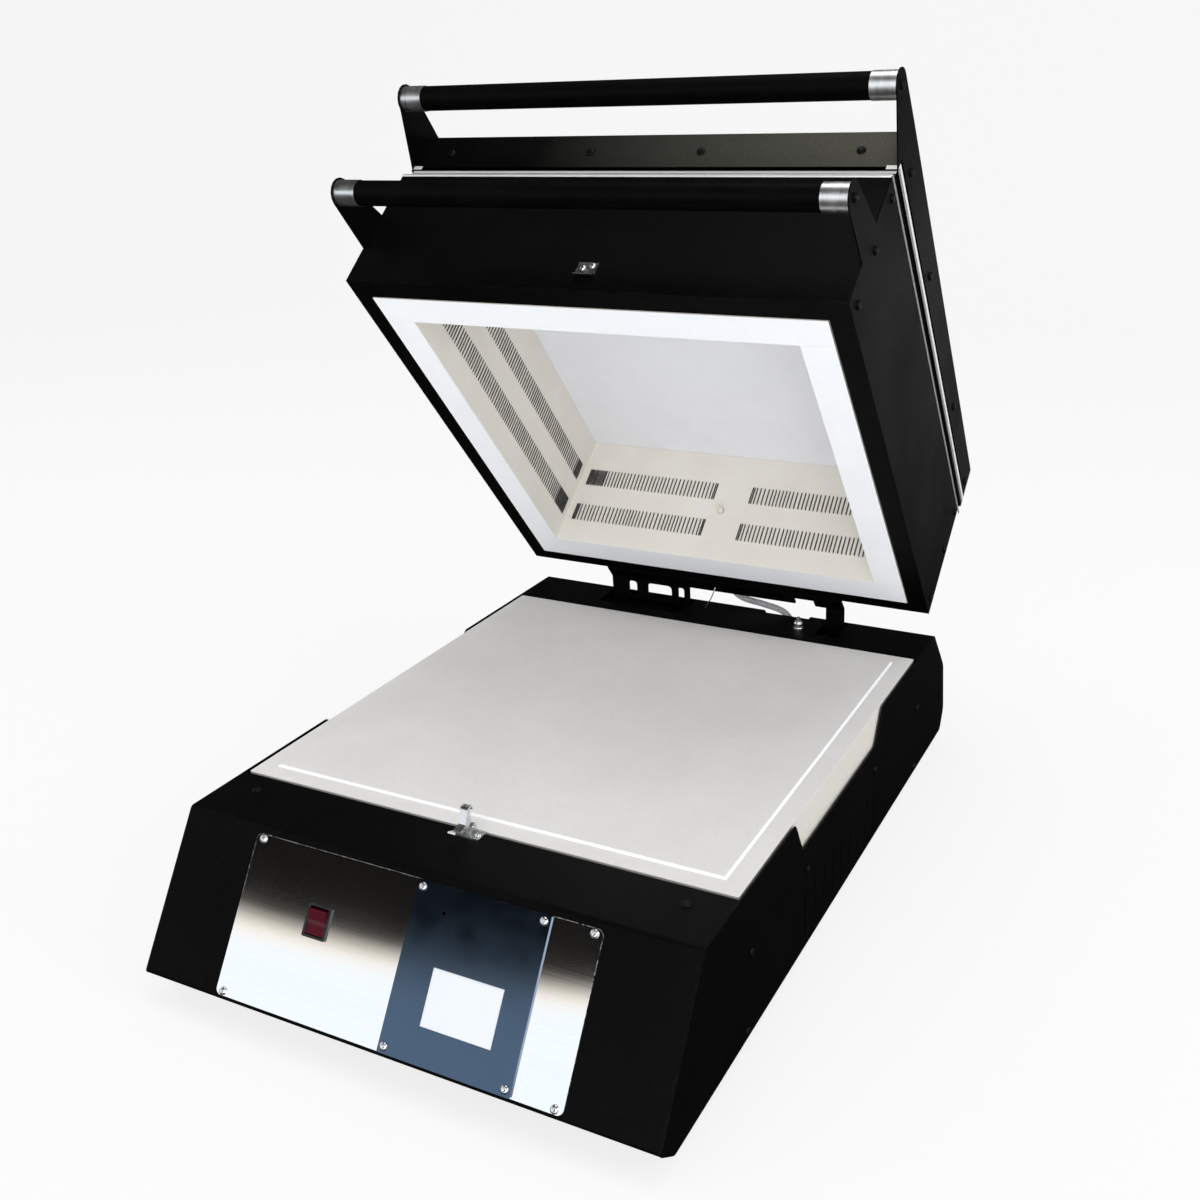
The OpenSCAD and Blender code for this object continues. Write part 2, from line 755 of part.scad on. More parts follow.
module terminal_block() {
    poles = 6;
    pitch = 17;
    color("#e8e4da") on_base() translate([-60, beam_y - 42.8, pan_top]) difference() {
        cube([poles * pitch + 3, 26, 18]);
        for (i = [0:poles - 1]) translate([3 + i * pitch, 0, 0]) {
            translate([0, -1, 10]) cube([pitch - 3, 10, 10]);
            translate([0, 17, 10]) cube([pitch - 3, 10, 10]);
            translate([(pitch - 3) / 2, 13, 12]) cylinder(r = 3, h = 10);
        }
    }
}

// Bush in the hood's lower back for the supply cable
inlet_r = 10;
inlet_x = -190;
inlet_down = 0.62;
inlet_tilt = atan2(hood_bulge, hood_bend[1] - hood_low[1]);

module on_inlet() {
    p = hood_bend + inlet_down * (hood_low - hood_bend);
    translate([inlet_x, p[0], p[1]]) rotate([-90 + inlet_tilt, 0, 0]) children();
}

module mains_inlet() {
    color("#141517") on_base() on_inlet() rotate_extrude() polygon([
        [6, -14], [inlet_r, -14], [inlet_r, 0], [inlet_r + 4, 0], [inlet_r + 4, 4], [inlet_r + 1, 9], [8.5, 13], [6, 13]]);
}

// Latch on the deck

module latch_screw_places() {
    for (s = [-1, 1]) translate([latch_x + s * 11.5, latch_y - 3, deck_z]) children();
}

module latch_base() {
    ear_t = 1.5;
    plate_d = 15.5;
    y0 = latch_y - 9.5;
    ear = [[y0, deck_z], [y0 + 0.5, deck_z + 6], [latch_y - 1, latch_z + 4], [latch_y + 3, latch_z + 3], [latch_y + 4, deck_z]];
    color("#c9cbcd") on_base() {
        difference() {
            block([latch_x - 15, y0, deck_z], [latch_x + 15, y0 + plate_d, deck_z + ear_t]);
            latch_screw_places() screw_hole();
        }
        for (s = [-1, 1]) translate([latch_x + s * (lever_w / 2 + gap + ear_t / 2), 0, 0])
            along_x(ear_t) polygon(rounded(ear, [0, 2, 3, 2, 0]));
        translate([latch_x, latch_y, latch_z]) bar_x(latch_pin_r, lever_w + 2 * (gap + ear_t) + 2);
    }
}

module latch_hook() {
    lever_t = 1.5;
    path = bent(
        [[-28, 8.6], [-20, 4.6], [-10.4, 6.2], [-3.4, 20.8], [2.3, 19.8], [2.2, 17]],
        [0, 6, 3.5, 2.6, 1.6, 0]);
    cheek = [[-12, 5.8], [-8.6, 9.4], [-3.4, 19.6], [-0.8, 18.6], [-1.6, 6], [2.8, 1.6], [2.4, -2], [-0.6, -3],
        [-3, -1.8], [-10, 3.4]];
    color("#d6d8da") on_base() translate([latch_x, latch_y, latch_z]) rotate([lever_lean, 0, 0]) {
        along_x(lever_w) bent_sheet(path, lever_t);
        difference() {
            for (s = [-1, 1]) translate([s * (lever_w / 2 - lever_t / 2), 0, 0]) along_x(lever_t) polygon(cheek);
            bar_x(latch_pin_r + run, lever_w + 2);
        }
    }
}

// Ring hinge

hood_bolt_x = 110;
hood_bolt_y = hinge_y - 28;

module hinge_beam() {
    cheek_t = 3;
    cheek = [[beam_y - 16, beam_top], [beam_y - knuckle_r, hinge_z + 4], [beam_y - 4, hinge_z + knuckle_r],
        [beam_y + 4, hinge_z + knuckle_r], [beam_y + knuckle_r, hinge_z + 4], [beam_y + 16, beam_top]];
    cheek_gap = 2;
    xs = [-hinge_half - cheek_gap - cheek_t / 2, -hinge_half + strap_wide + cheek_gap + cheek_t / 2,
        hinge_half - strap_w - cheek_gap - cheek_t / 2, hinge_half + cheek_gap + cheek_t / 2];
    color("#3a3c40") on_base() difference() {
        union() {
            difference() {
                block([-inner_w / 2, beam_y - beam_w / 2, beam_top - beam_h], [inner_w / 2, beam_y + beam_w / 2, beam_top]);
                block([-inner_w / 2 - 1, beam_y - beam_w / 2 + 2.5, beam_top - beam_h + 2.5],
                    [inner_w / 2 + 1, beam_y + beam_w / 2 - 2.5, beam_top - 2.5]);
            }
            for (s = [-1, 1]) translate([s * (inner_w - 3) / 2, 0, 0]) translate([-1.5, 0, 0])
                block([0, hood_side_screws[0][0] - 10, beam_top - beam_h], [3, beam_y + beam_w / 2, beam_top + 2]);
            for (x = xs) translate([x, 0, 0]) along_x(cheek_t) polygon(cheek);
            block([hood_bolt_x - 12, hood_bolt_y - 3, beam_top - 2.5], [hood_bolt_x + 12, hood_bolt_y + 12, beam_top]);
            translate([hood_bolt_x, hood_bolt_y, beam_top - 2.5]) cylinder(r = 7, h = deck_z - sheet_t - beam_top + 2.5);
        }
        translate([0, hinge_y, hinge_z]) bar_x(rod_r + run, 2 * hinge_half + 40);
        for (s = [-1, 1]) on_side(s, inner_w / 2, [hood_side_screws[0]]) screw_hole(12);
        translate([hood_bolt_x, hood_bolt_y, deck_z]) cylinder(r = 3 + gap, h = 50, center = true);
    }
}

module hinge_rod() {
    rod_half = hinge_half + 12;
    color("#9a9da0") on_base() translate([0, hinge_y, hinge_z]) {
        bar_x(rod_r, 2 * rod_half);
        for (s = [-1, 1]) translate([s * (rod_half - 1.5), 0, 0]) bar_x(rod_r + 3, 3);
    }
}

// Balance spring wound round the hinge rod, drawn as a ribbed sleeve with its lower leg
module hinge_spring() {
    knuckle_w = 20;
    x0 = -hinge_half + knuckle_w + 2;
    x1 = -hinge_half + strap_wide - knuckle_w - 2;
    wire = 5;
    turns = floor((x1 - x0) / wire);
    core = rod_r + 1;
    color("#26272a") on_base() translate([0, hinge_y, hinge_z]) {
        translate([x0, 0, 0]) rotate([0, 90, 0]) rotate_extrude() polygon(concat(
            [[core, 0]],
            [for (i = [0:turns - 1], p = [[core + 4.4, 0.1], [core + 6.4, 1.4], [core + 6.4, 3.6], [core + 4.4, 4.9]])
                [p[0], p[1] + i * wire]],
            [[core, turns * wire]]));
        for (x = [x0 + wire / 2, x1 - wire]) translate([x, core + 3, 0])
            translate([0, 0, beam_top - hinge_z]) cylinder(r = 2, h = hinge_z - beam_top);
    }
}

module hood_bolt() {
    color("#d2d4d6") on_base() translate([hood_bolt_x, hood_bolt_y, deck_z]) rotate_extrude() polygon([
        [0, -20], [3, -20], [3, 0], [7, 0], [7, 1.2], [5.4, 1.2], [5.4, 6.5], [4, 9], [2.6, 9.6], [2.6, 13.5],
        [2.2, 14], [0, 14]]);
}

// Sleeved sensor lead and bare earth wire from the ring's back down into the hood, as the open ring holds them
lead_r = 4;
lead_x = 0;
lead_z = 26;
lead_exit = hinge + ring_turn([ring_d, lead_z] - hinge);
lead_out = ring_turn([1, 0]);

function ring_turn(p) = [p[0] * cos(ring_open) + p[1] * sin(ring_open), p[1] * cos(ring_open) - p[0] * sin(ring_open)];

function curve(p, n) =
    [for (i = [1:len(p) - 3], k = [0:n - 1])
        let (t = k / n, a = p[i - 1], b = p[i], c = p[i + 1], d = p[i + 2])
        0.5 * (2 * b + (c - a) * t + (2 * a - 5 * b + 4 * c - d) * t * t + (3 * b - a - 3 * c + d) * t * t * t)];

module sensor_lead() {
    lead_y = hinge_y + 10.2;
    wire_y = hinge_y - 12.8;
    lead = curve(concat(
        [for (l = [-2.4, -1.4, 6, 14]) let (p = lead_exit + l * lead_out) [lead_x, p[0], p[1]]],
        [[lead_x + 3, lead_y, 26], [lead_x + 20, lead_y, 12], [lead_x + 50, lead_y, 7], [lead_x + 76, lead_y, 1],
         [lead_x + 88, lead_y + 1, -14], [lead_x + 90, lead_y + 1.5, -40], [lead_x + 90, lead_y + 1.5, beam_top + gap],
         [lead_x + 90, lead_y + 1.5, beam_top - 10]]), 4);
    wire = curve([[-6, wire_y + 2.5, 34], [-7, wire_y - 0.7, 30.2], [-12, wire_y - 2, 16], [-20, wire_y, 2],
        [-22, wire_y + 1, deck_z + gap], [-23, wire_y, -8]], 3);
    color("#8d9093") on_base() {
        swept_tube(lead, lead_r, 10);
        swept_tube(wire, 0.7, 8);
    }
}

// Chamber ring

function horn_end(y, z) = [for (i = [0:8]) [-y - horn_r * sin(180 * i / 8), z - horn_r * cos(180 * i / 8)]];

module ring_side(side) {
    half = ring_w / 2;
    outline = concat(
        [[0, rim_rise], [0, ring_handle_z - horn_r]], horn_end(ring_handle_y, ring_handle_z),
        [[1, ring_handle_z + 32], [1, ring_h], [ring_d, ring_h], [ring_d, rim_rise]]);
    difference() {
        translate([side * (half - sheet_t / 2), 0, 0]) along_x(sheet_t) polygon(outline);
        on_side(side, half, concat(ring_side_screws, ring_back_screws)) screw_hole();
        on_side(side, half, [[-ring_handle_y, ring_handle_z]]) screw_hole();
    }
}

module ring_side_left() { color("#1a1b1d") on_ring() ring_side(-1); }
module ring_side_right() { color("#1a1b1d") on_ring() ring_side(1); }

// Front and back panels, each with a flange behind either side panel that takes the side screws
module ring_panel(y, inward, screws) {
    difference() {
        union() {
            block([-ring_inner_w / 2, y, rim_rise], [ring_inner_w / 2, y + sheet_t, ring_h]);
            for (s = [-1, 1]) translate([s * (ring_inner_w - sheet_t) / 2, inward > 0 ? y : y + sheet_t - flange_w, rim_rise])
                translate([-sheet_t / 2, 0, 0]) cube([sheet_t, flange_w, ring_h - rim_rise]);
        }
        for (s = [-1, 1]) on_side(s, ring_inner_w / 2, screws) screw_hole(8);
        children();
    }
}

module ring_front() {
    color("#1a1b1d") on_ring() ring_panel(0, 1, ring_side_screws) catch_screw_places() screw_hole();
}

module ring_back() {
    color("#1a1b1d") on_ring() ring_panel(ring_d - sheet_t, -1, ring_back_screws) {
        translate([lead_x, ring_d, lead_z]) rotate([90, 0, 0]) cylinder(r = lead_r + gap, h = 12, center = true);
        translate([sensor_x, ring_d, sensor_z]) rotate([90, 0, 0]) cylinder(r = 5 + gap, h = 12, center = true);
        back_screw_places(0) screw_hole(12);
    }
}

// Screws of the hinge plate and of the lid hinges' leaves in the ring's back
module back_screw_places(out) {
    for (x = plate_screws) translate([x, ring_d + out * hinge_t, plate_screw_z]) rotate([-90, 0, 0]) children();
    for (s = [-1, 1], p = leaf_screws) translate([s * lid_hinge_x + p[0], ring_d + out * leaf_t, p[1]])
        rotate([-90, 0, 0]) children();
}

// Sloping steel rim under the ring, round the insulation's lower edge
module ring_rim() {
    color("#17181a") on_ring() translate([0, ring_d / 2, 0]) mitred_frame(ring_w, ring_d)
        bent_sheet([[0, rim_rise - seam], [rim_w, brick_low + sheet_t]], -sheet_t);
}

// Bright trim strip on the ring's upper edge
module ring_trim() {
    color("#c8cacc") on_ring() translate([0, ring_d / 2, 0]) mitred_frame(ring_w - 1, ring_d - 1)
        translate([0, ring_h]) square([14, sheet_t]);
}

// Section of an insulation wall, from the chamber's face outward, stepped back over the rim and under the trim
rim_gap = 1.5;
trim_step = 15;
function wall_outline(t, rim_u) = [
    [0, brick_low], [rim_u - rim_gap, brick_low], [rim_u - rim_gap, 9], [t, 9], [t, ring_h - 3],
    [t - trim_step, ring_h - 3], [t - trim_step, wall_h], [0, wall_h]];

module wall_front() {
    color("#efe9da") on_ring() translate([0, chamber_y, 0]) mirror([0, 1, 0]) long_wall(chamber_y - brick_y0, chamber_y - rim_w);
}

module wall_back() {
    color("#efe9da") on_ring() difference() {
        translate([0, chamber_back, 0]) long_wall(brick_y1 - chamber_back, ring_d - rim_w - chamber_back);
        translate([sensor_x, chamber_back + 30, sensor_z]) rotate([90, 0, 0]) cylinder(r = 4 + gap, h = 90, center = true);
    }
}

// A long wall runs over the full width, and its grooves stop at the chamber's corners
module long_wall(t, rim_u) {
    rim_half = ring_w / 2 - rim_w - rim_gap;
    difference() {
        intersection() {
            along_x(2 * brick_half) polygon(wall_outline(t, rim_u));
            union() {
                block([-brick_half, -1, 9], [brick_half, t + 1, ring_h - 3]);
                block([-rim_half, -1, 0], [rim_half, t + 1, 20]);
                block([trim_step - brick_half, -1, 20], [brick_half - trim_step, t + 1, wall_h]);
            }
        }
        for (z = [row_low, row_high])
            block([-chamber_w / 2, -1, z - groove_h / 2], [chamber_w / 2, groove_d, z + groove_h / 2]);
    }
}

module side_wall() {
    t = brick_half - chamber_w / 2;
    rim_u = ring_w / 2 - rim_w - chamber_w / 2;
    translate([chamber_w / 2, chamber_y + chamber_d / 2, 0]) rotate([90, 0, 0])
        linear_extrude(chamber_d - 2 * seam, center = true) difference() {
            polygon(wall_outline(t, rim_u));
            for (z = [row_low, row_high]) translate([-1, z - groove_h / 2]) square([groove_d + 1, groove_h]);
        }
}

module wall_left() { color("#efe9da") on_ring() mirror([1, 0, 0]) side_wall(); }
module wall_right() { color("#efe9da") on_ring() side_wall(); }

// Heating coil along X from x0 to x1, drawn as a ribbed bar of the coil's size
module coil(x0, x1) {
    turns = floor((x1 - x0) / coil_pitch);
    valley = coil_r - wire_t;
    translate([x0, 0, 0]) rotate([0, 90, 0]) rotate_extrude($fn = 32) polygon(concat(
        [[0, 0]],
        [for (i = [0:turns - 1], p = [[valley, 0], [coil_r, coil_pitch / 2]]) [p[0], p[1] + i * coil_pitch]],
        [[valley, turns * coil_pitch], [0, turns * coil_pitch]]));
}

module coil_rows() {
    for (z = [row_low, row_high]) translate([0, 0, z - coil_sink]) children();
}

module long_elements() {
    half = chamber_w / 2 - coil_end;
    coil_rows() {
        coil(-half, coil_gap_x - coil_gap / 2);
        coil(coil_gap_x + coil_gap / 2, half);
    }
}

module side_elements() {
    half = chamber_d / 2 - coil_end;
    coil_rows() translate([chamber_w / 2 + coil_axis, chamber_y + chamber_d / 2, 0]) rotate([0, 0, 90]) coil(-half, half);
}

module element_front() { color("#6b5f55") on_ring() translate([0, chamber_y - coil_axis, 0]) long_elements(); }
module element_back() { color("#6b5f55") on_ring() translate([0, chamber_back + coil_axis, 0]) long_elements(); }
module element_left() { color("#6b5f55") on_ring() mirror([1, 0, 0]) side_elements(); }
module element_right() { color("#6b5f55") on_ring() side_elements(); }

module thermocouple() {
    tip = 14;
    length = ring_d - chamber_back + tip + 8;
    color("#d9cdb8") on_ring() translate([sensor_x, chamber_back - tip, sensor_z]) rotate([-90, 0, 0]) {
        translate([0, 0, 4]) cylinder(r = 3.6, h = length - 4);
        cylinder(r = 1.2, h = 6);
        sphere(r = 2, $fn = 24);
        translate([0, 0, length - 10]) cylinder(r = 5, h = 12);
    }
}

catch_x = latch_x;
catch_top = 37;
catch_w = 22;

module catch_screw_places() {
    for (p = [[-4.5, 30], [5, 33]]) translate([catch_x + p[0], 0, p[1]]) rotate([90, 0, 0]) children();
}

module catch_plate() {
    path = bent([[0, catch_top], [0, 21.5], [-4.6, 19.6]], [0, 1.8, 0]);
    color("#cfd1d3") on_ring() {
        difference() {
            translate([catch_x, 0, 0]) along_x(catch_w) bent_sheet(path, -1.2);
            catch_screw_places() screw_hole();
        }
        catch_screw_places() translate([0, 0, 1.2]) pan_screw(2.8, 1.8, 5);
    }
}

// Handle pieces: rod, grip, collars and end screws between two horns a given width apart

module handle_bar(w) {
    difference() {
        bar_x(bar_r, w);
        for (s = [-1, 1]) translate([s * w / 2, 0, 0]) bar_x(shank_r + gap, 40);
    }
}

module handle_sleeve(w, r) {
    difference() {
        bar_x(r, w);
        bar_x(bar_r + gap, w + 2);
    }
}

module handle_collars(w) {
    for (s = [-1, 1]) translate([s * (w - collar_l) / 2, 0, 0]) handle_sleeve(collar_l, collar_r);
}

ring_handle_w = ring_w - 2 * sheet_t;

module at_ring_handle() {
    on_ring() translate([0, -ring_handle_y, ring_handle_z]) children();
}

module ring_handle_bar() { color("#8a8d90") at_ring_handle() handle_bar(ring_handle_w); }
module ring_grip() { color("#121314") at_ring_handle() handle_sleeve(ring_handle_w - 2 * collar_l, grip_r); }
module ring_collars() { color("#c6c8ca") at_ring_handle() handle_collars(ring_handle_w); }

module ring_screws() {
    color("#222326") on_ring() {
        for (s = [-1, 1]) {
            on_side(s, ring_w / 2, concat(ring_side_screws, ring_back_screws))
                pan_screw(screw_r, screw_h, sheet_t + brick_gap - gap);
            on_side(s, ring_w / 2, [[-ring_handle_y, ring_handle_z]]) pan_screw(screw_r, screw_h);
        }
        back_screw_places(1) pan_screw(screw_r, screw_h, leaf_t + sheet_t + brick_gap - 2 * gap);
    }
}

// Hinge plate on the ring's back: an angle with a wide and a narrow strap down to the hinge rod

strap_top = hinge - [36.8, -25.6];
strap_way = unit(hinge - strap_top);

module on_strap() {
    translate([0, strap_top[0], strap_top[1]]) rotate([atan2(strap_way[1], strap_way[0]), 0, 0]) children();
}

module ring_hinge_plate() {
    knuckle_w = 20;
    upper = bent([[ring_d, 48], [ring_d, 2], strap_top + [1.2, 0]], [0, 4, 0]);
    strap_end = hinge - turn(strap_way) * hinge_t / 2;
    strap = bent([[ring_d + 6, 2], strap_top, strap_end], [0, 5, 0]);
    left = -hinge_half;
    wide_end = left + strap_wide;
    right = hinge_half - strap_w;
    windows = [[left + 30, 12, 5], [left + 69, 35, 6], [left + 100, 9, 4]];
    color("#1b1c1e") on_ring() difference() {
        union() {
            along_x(2 * hinge_half) bent_sheet(upper, hinge_t);
            difference() {
                translate([left + strap_wide / 2, 0, 0]) along_x(strap_wide) bent_sheet(strap, hinge_t);
                translate([left + strap_wide / 2, hinge_y, hinge_z]) bar_x(17, strap_wide - 2 * knuckle_w);
                for (w = windows) on_strap() translate([w[0], 14, 0]) linear_extrude(20, center = true)
                    rounded_plate(w[1], 21, w[2] - 0.5);
            }
            translate([right + strap_w / 2, 0, 0]) along_x(strap_w) bent_sheet(strap, hinge_t);
            for (x = [left + knuckle_w / 2, wide_end - knuckle_w / 2]) translate([x, hinge_y, hinge_z])
                bar_x(knuckle_r, knuckle_w);
            translate([right + strap_w / 2, hinge_y, hinge_z]) bar_x(knuckle_r, strap_w);
        }
        translate([0, hinge_y, hinge_z]) bar_x(rod_r + run, 3 * hinge_half);
        block([hood_bolt_x - 13, hood_bolt_y - 21, -1], [hood_bolt_x + 13, hinge_y, 9]);
        translate([lead_x, ring_d, lead_z]) rotate([90, 0, 0]) cylinder(r = lead_r + gap, h = 12, center = true);
        back_screw_places(0) screw_hole(12);
    }
}

// Lid hinges

lid_knuckle_r = lid_pin_r + 2.5;
leaf_t = 2;

module lid_knuckles(odd) {
    n = 5;
    w = lid_hinge_l / n;
    for (i = [0:n - 1]) if (i % 2 == odd) translate([(i - (n - 1) / 2) * w, lid_pin[0], lid_pin[1]])
        bar_x(lid_knuckle_r, w - gap);
}

module lid_knuckle_slots(odd) {
    n = 5;
    w = lid_hinge_l / n;
    for (i = [0:n - 1]) if (i % 2 == odd) translate([(i - (n - 1) / 2) * w, lid_pin[0], lid_pin[1]])
        bar_x(lid_knuckle_r + gap, w + gap);
}

module lid_hinge_leaves() {
    arm = bent([[ring_d, 108], [ring_d, 143], lid_pin + [-3, -4]], [0, 6, 0]);
    color("#1b1c1e") on_ring() for (s = [-1, 1]) translate([s * lid_hinge_x, 0, 0]) difference() {
        union() {
            difference() {
                along_x(lid_hinge_l - gap) bent_sheet(arm, -leaf_t);
                lid_knuckle_slots(1);
            }
            lid_knuckles(0);
        }
        for (p = leaf_screws) translate([p[0], ring_d, p[1]]) rotate([90, 0, 0]) screw_hole(12);
        translate([0, lid_pin[0], lid_pin[1]]) bar_x(lid_pin_r + run, lid_hinge_l + 2);
    }
}

module lid_hinge_straps() {
    arm = bent([[lid_back, lid_low_back + 38], [lid_back, lid_low_back + 4], lid_pin + [0, 4.4]], [0, 2.5, 0]);
    color("#1b1c1e") on_ring() for (s = [-1, 1]) translate([s * lid_hinge_x, 0, 0]) difference() {
        union() {
            difference() {
                along_x(lid_hinge_l - gap) bent_sheet(arm, leaf_t);
                lid_knuckle_slots(0);
            }
            lid_knuckles(1);
        }
        for (p = strap_screws) translate([p[0], lid_back, p[1]]) rotate([90, 0, 0]) screw_hole(12);
        translate([0, lid_pin[0], lid_pin[1]]) bar_x(lid_pin_r + run, lid_hinge_l + 2);
    }
}

module lid_hinge_pins() {
    head_r = lid_pin_r + 1.5;
    color("#9a9da0") on_ring() for (s = [-1, 1]) translate([s * lid_hinge_x, lid_pin[0], lid_pin[1]]) {
        bar_x(lid_pin_r, lid_hinge_l + 4);
        for (k = [-1, 1]) translate([k * (lid_hinge_l / 2 + 2), 0, 0]) bar_x(head_r, 2);
    }
}

// Lid

module lid_side(side) {
    half = ring_w / 2;
    outline = concat(
        [[lid_y, lid_low_front]], horn_end(lid_handle_y, lid_handle_z),
        [[lid_y, lid_top_front], [lid_back, lid_top_back], [lid_back, lid_low_back]]);
    difference() {
        translate([side * (half - sheet_t / 2), 0, 0]) along_x(sheet_t) polygon(outline);
        on_side(side, half, concat(lid_side_screws, [[-lid_handle_y, lid_handle_z]])) screw_hole();
    }
}

module lid_side_left() { color("#1a1b1d") on_ring() lid_side(-1); }
module lid_side_right() { color("#1a1b1d") on_ring() lid_side(1); }

// Front, top and back of the lid in one bent sheet between the side panels
module lid_shell() {
    path = bent(
        [[lid_y, lid_low_front], [lid_y, lid_face_top], [lid_back, lid_top_back - 7], [lid_back, lid_low_back]],
        [0, 3, 3, 0]);
    rear_top = [lid_back - sheet_t, lid_top_back - 7 - sheet_t];
    flange = [[lid_y + sheet_t, lid_face_top - sheet_t], rear_top, rear_top - [0, flange_w],
        [lid_y + sheet_t, lid_face_top - sheet_t - flange_w]];
    color("#1a1b1d") on_ring() difference() {
        union() {
            along_x(ring_inner_w) bent_sheet(path, -sheet_t);
            for (s = [-1, 1]) translate([s * (ring_inner_w - sheet_t) / 2, 0, 0]) along_x(sheet_t)
                polygon([for (p = flange) p + [0, 0.5]]);
        }
        for (s = [-1, 1]) on_side(s, ring_inner_w / 2, lid_side_screws) screw_hole(8);
        lid_face_places() screw_hole();
        for (s = [-1, 1], p = strap_screws) translate([s * lid_hinge_x + p[0], lid_back, p[1]])
            rotate([90, 0, 0]) screw_hole(12);
    }
}

module lid_face_places() {
    for (x = lid_face_screws) translate([x, lid_y, lid_low_front + 24]) rotate([90, 0, 0]) children();
}

// Bright pan edge under the lid's panels, round the insulation
module lid_band() {
    w = ring_inner_w - 2 * seam;
    d = lid_d - 2 * sheet_t - 2 * seam;
    show = band_show;
    inward = 2.5;
    color("#c8cacc") on_ring() intersection() {
        translate([0, lid_y + lid_d / 2, 0]) difference() {
            translate([0, 0, lid_low_front - 1]) cube([w, d, 60], center = true);
            translate([0, 0, lid_low_front - 1]) cube([w - 2 * inward, d - 2 * inward, 62], center = true);
        }
        along_x(w + 2) polygon([[lid_y, lid_low_front - show], [lid_back, lid_low_back - show],
            [lid_back, lid_low_back + 14], [lid_y, lid_low_front + 14]]);
    }
}

module lid_insulation() {
    step = 14;
    w = ring_inner_w - 2 * seam - 5 - 2 * gap;
    d = lid_d - 2 * sheet_t - 2 * seam - 5 - 2 * gap;
    y0 = lid_y + lid_d / 2 - d / 2;
    color("#f2efe8") on_ring() {
        block([-w / 2 + step, y0 + step, lid_brick_z], [w / 2 - step, y0 + d - step, lid_brick_z + 12]);
        block([-w / 2, y0, lid_brick_z + 11], [w / 2, y0 + d, lid_brick_z + lid_brick_t]);
    }
}

module at_lid_handle() {
    on_ring() translate([0, -lid_handle_y, lid_handle_z]) children();
}

module lid_handle_bar() { color("#8a8d90") at_lid_handle() handle_bar(ring_handle_w); }
module lid_grip() { color("#121314") at_lid_handle() handle_sleeve(ring_handle_w - 2 * collar_l, grip_r); }
module lid_collars() { color("#c6c8ca") at_lid_handle() handle_collars(ring_handle_w); }

module lid_screws() {
    color("#222326") on_ring() {
        for (s = [-1, 1]) {
            on_side(s, ring_w / 2, lid_side_screws) pan_screw(screw_r, screw_h, lid_brick_gap);
            on_side(s, ring_w / 2, [[-lid_handle_y, lid_handle_z]]) pan_screw(screw_r, screw_h);
            for (p = strap_screws) translate([s * lid_hinge_x + p[0], lid_back + leaf_t, p[1]]) rotate([-90, 0, 0])
                pan_screw(screw_r, screw_h, leaf_t + lid_brick_gap);
        }
        lid_face_places() pan_screw(screw_r, screw_h, lid_brick_gap);
    }
}

base_side_left();
base_side_right();
front_cover();
floor_pan();
rear_hood();
hearth_slab();
slab_tray();
feet();
base_screws();
control_plate();
controller_panel();
touch_screen();
controller_board();
switch_bezel();
power_rocker();
panel_screws();
power_relays();
transformer();
terminal_block();
mains_inlet();
latch_base();
latch_hook();
hinge_beam();
hinge_rod();
hinge_spring();
hood_bolt();
sensor_lead();
ring_side_left();
ring_side_right();
ring_front();
ring_back();
ring_rim();
ring_trim();
wall_front();
wall_back();
wall_left();
wall_right();
element_front();
element_back();
element_left();
element_right();
thermocouple();
catch_plate();
ring_handle_bar();
ring_grip();
ring_collars();
ring_screws();
ring_hinge_plate();
lid_hinge_leaves();
lid_side_left();
lid_side_right();
lid_shell();
lid_band();
lid_insulation();
lid_handle_bar();
lid_grip();
lid_collars();
lid_screws();
lid_hinge_straps();
lid_hinge_pins();
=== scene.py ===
import json
import math
import random

import bpy
from mathutils import Matrix, Vector


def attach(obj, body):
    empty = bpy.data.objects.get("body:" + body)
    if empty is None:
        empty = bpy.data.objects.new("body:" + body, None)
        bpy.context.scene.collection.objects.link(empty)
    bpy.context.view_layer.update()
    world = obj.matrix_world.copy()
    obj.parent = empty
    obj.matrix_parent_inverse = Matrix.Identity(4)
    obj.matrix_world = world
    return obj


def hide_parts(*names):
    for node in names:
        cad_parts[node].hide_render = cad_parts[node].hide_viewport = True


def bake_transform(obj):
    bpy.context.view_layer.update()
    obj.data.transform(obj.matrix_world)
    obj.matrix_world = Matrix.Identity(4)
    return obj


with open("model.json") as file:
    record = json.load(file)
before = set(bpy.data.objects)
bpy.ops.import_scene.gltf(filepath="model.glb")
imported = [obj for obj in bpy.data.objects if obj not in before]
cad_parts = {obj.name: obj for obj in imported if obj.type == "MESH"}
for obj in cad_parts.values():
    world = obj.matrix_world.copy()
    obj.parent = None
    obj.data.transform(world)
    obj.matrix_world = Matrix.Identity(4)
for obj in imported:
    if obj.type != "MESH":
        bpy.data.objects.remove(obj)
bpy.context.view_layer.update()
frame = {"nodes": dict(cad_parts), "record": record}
nodes = frame["nodes"]

# Places in the kiln's own millimetres: X right, Y back, Z up from the hearth's front top edge
MID_Y = 294.0075
STAND_H = 165.0
HINGE = (602.8, -23.6)
OPEN_ANGLE = math.radians(49.67)
DECK_EDGE = (-78.0, -1.5)
FACE_TILT = math.atan2(134.0, 87.5)
RING_HALF_W = 268.0
RING_D = 543.0
LID_FRONT = 9.0
LID_BACK = 552.0
CHAMBER_HALF_W = 212.0
CHAMBER_FRONT = 58.0
CHAMBER_BACK = 482.0
LATCH_X = 4.0

# The photograph's camera: its place in millimetres, its azimuth, elevation and roll in degrees,
# and its focal length and picture width in pixels
CAMERA_AT = (620.03, -883.92, 633.53)
CAMERA_ANGLES = (28.363, 21.127, -1.871)
FOCAL_PX = 1334.26
PHOTO_PX = 1200
SENSOR_W = 36


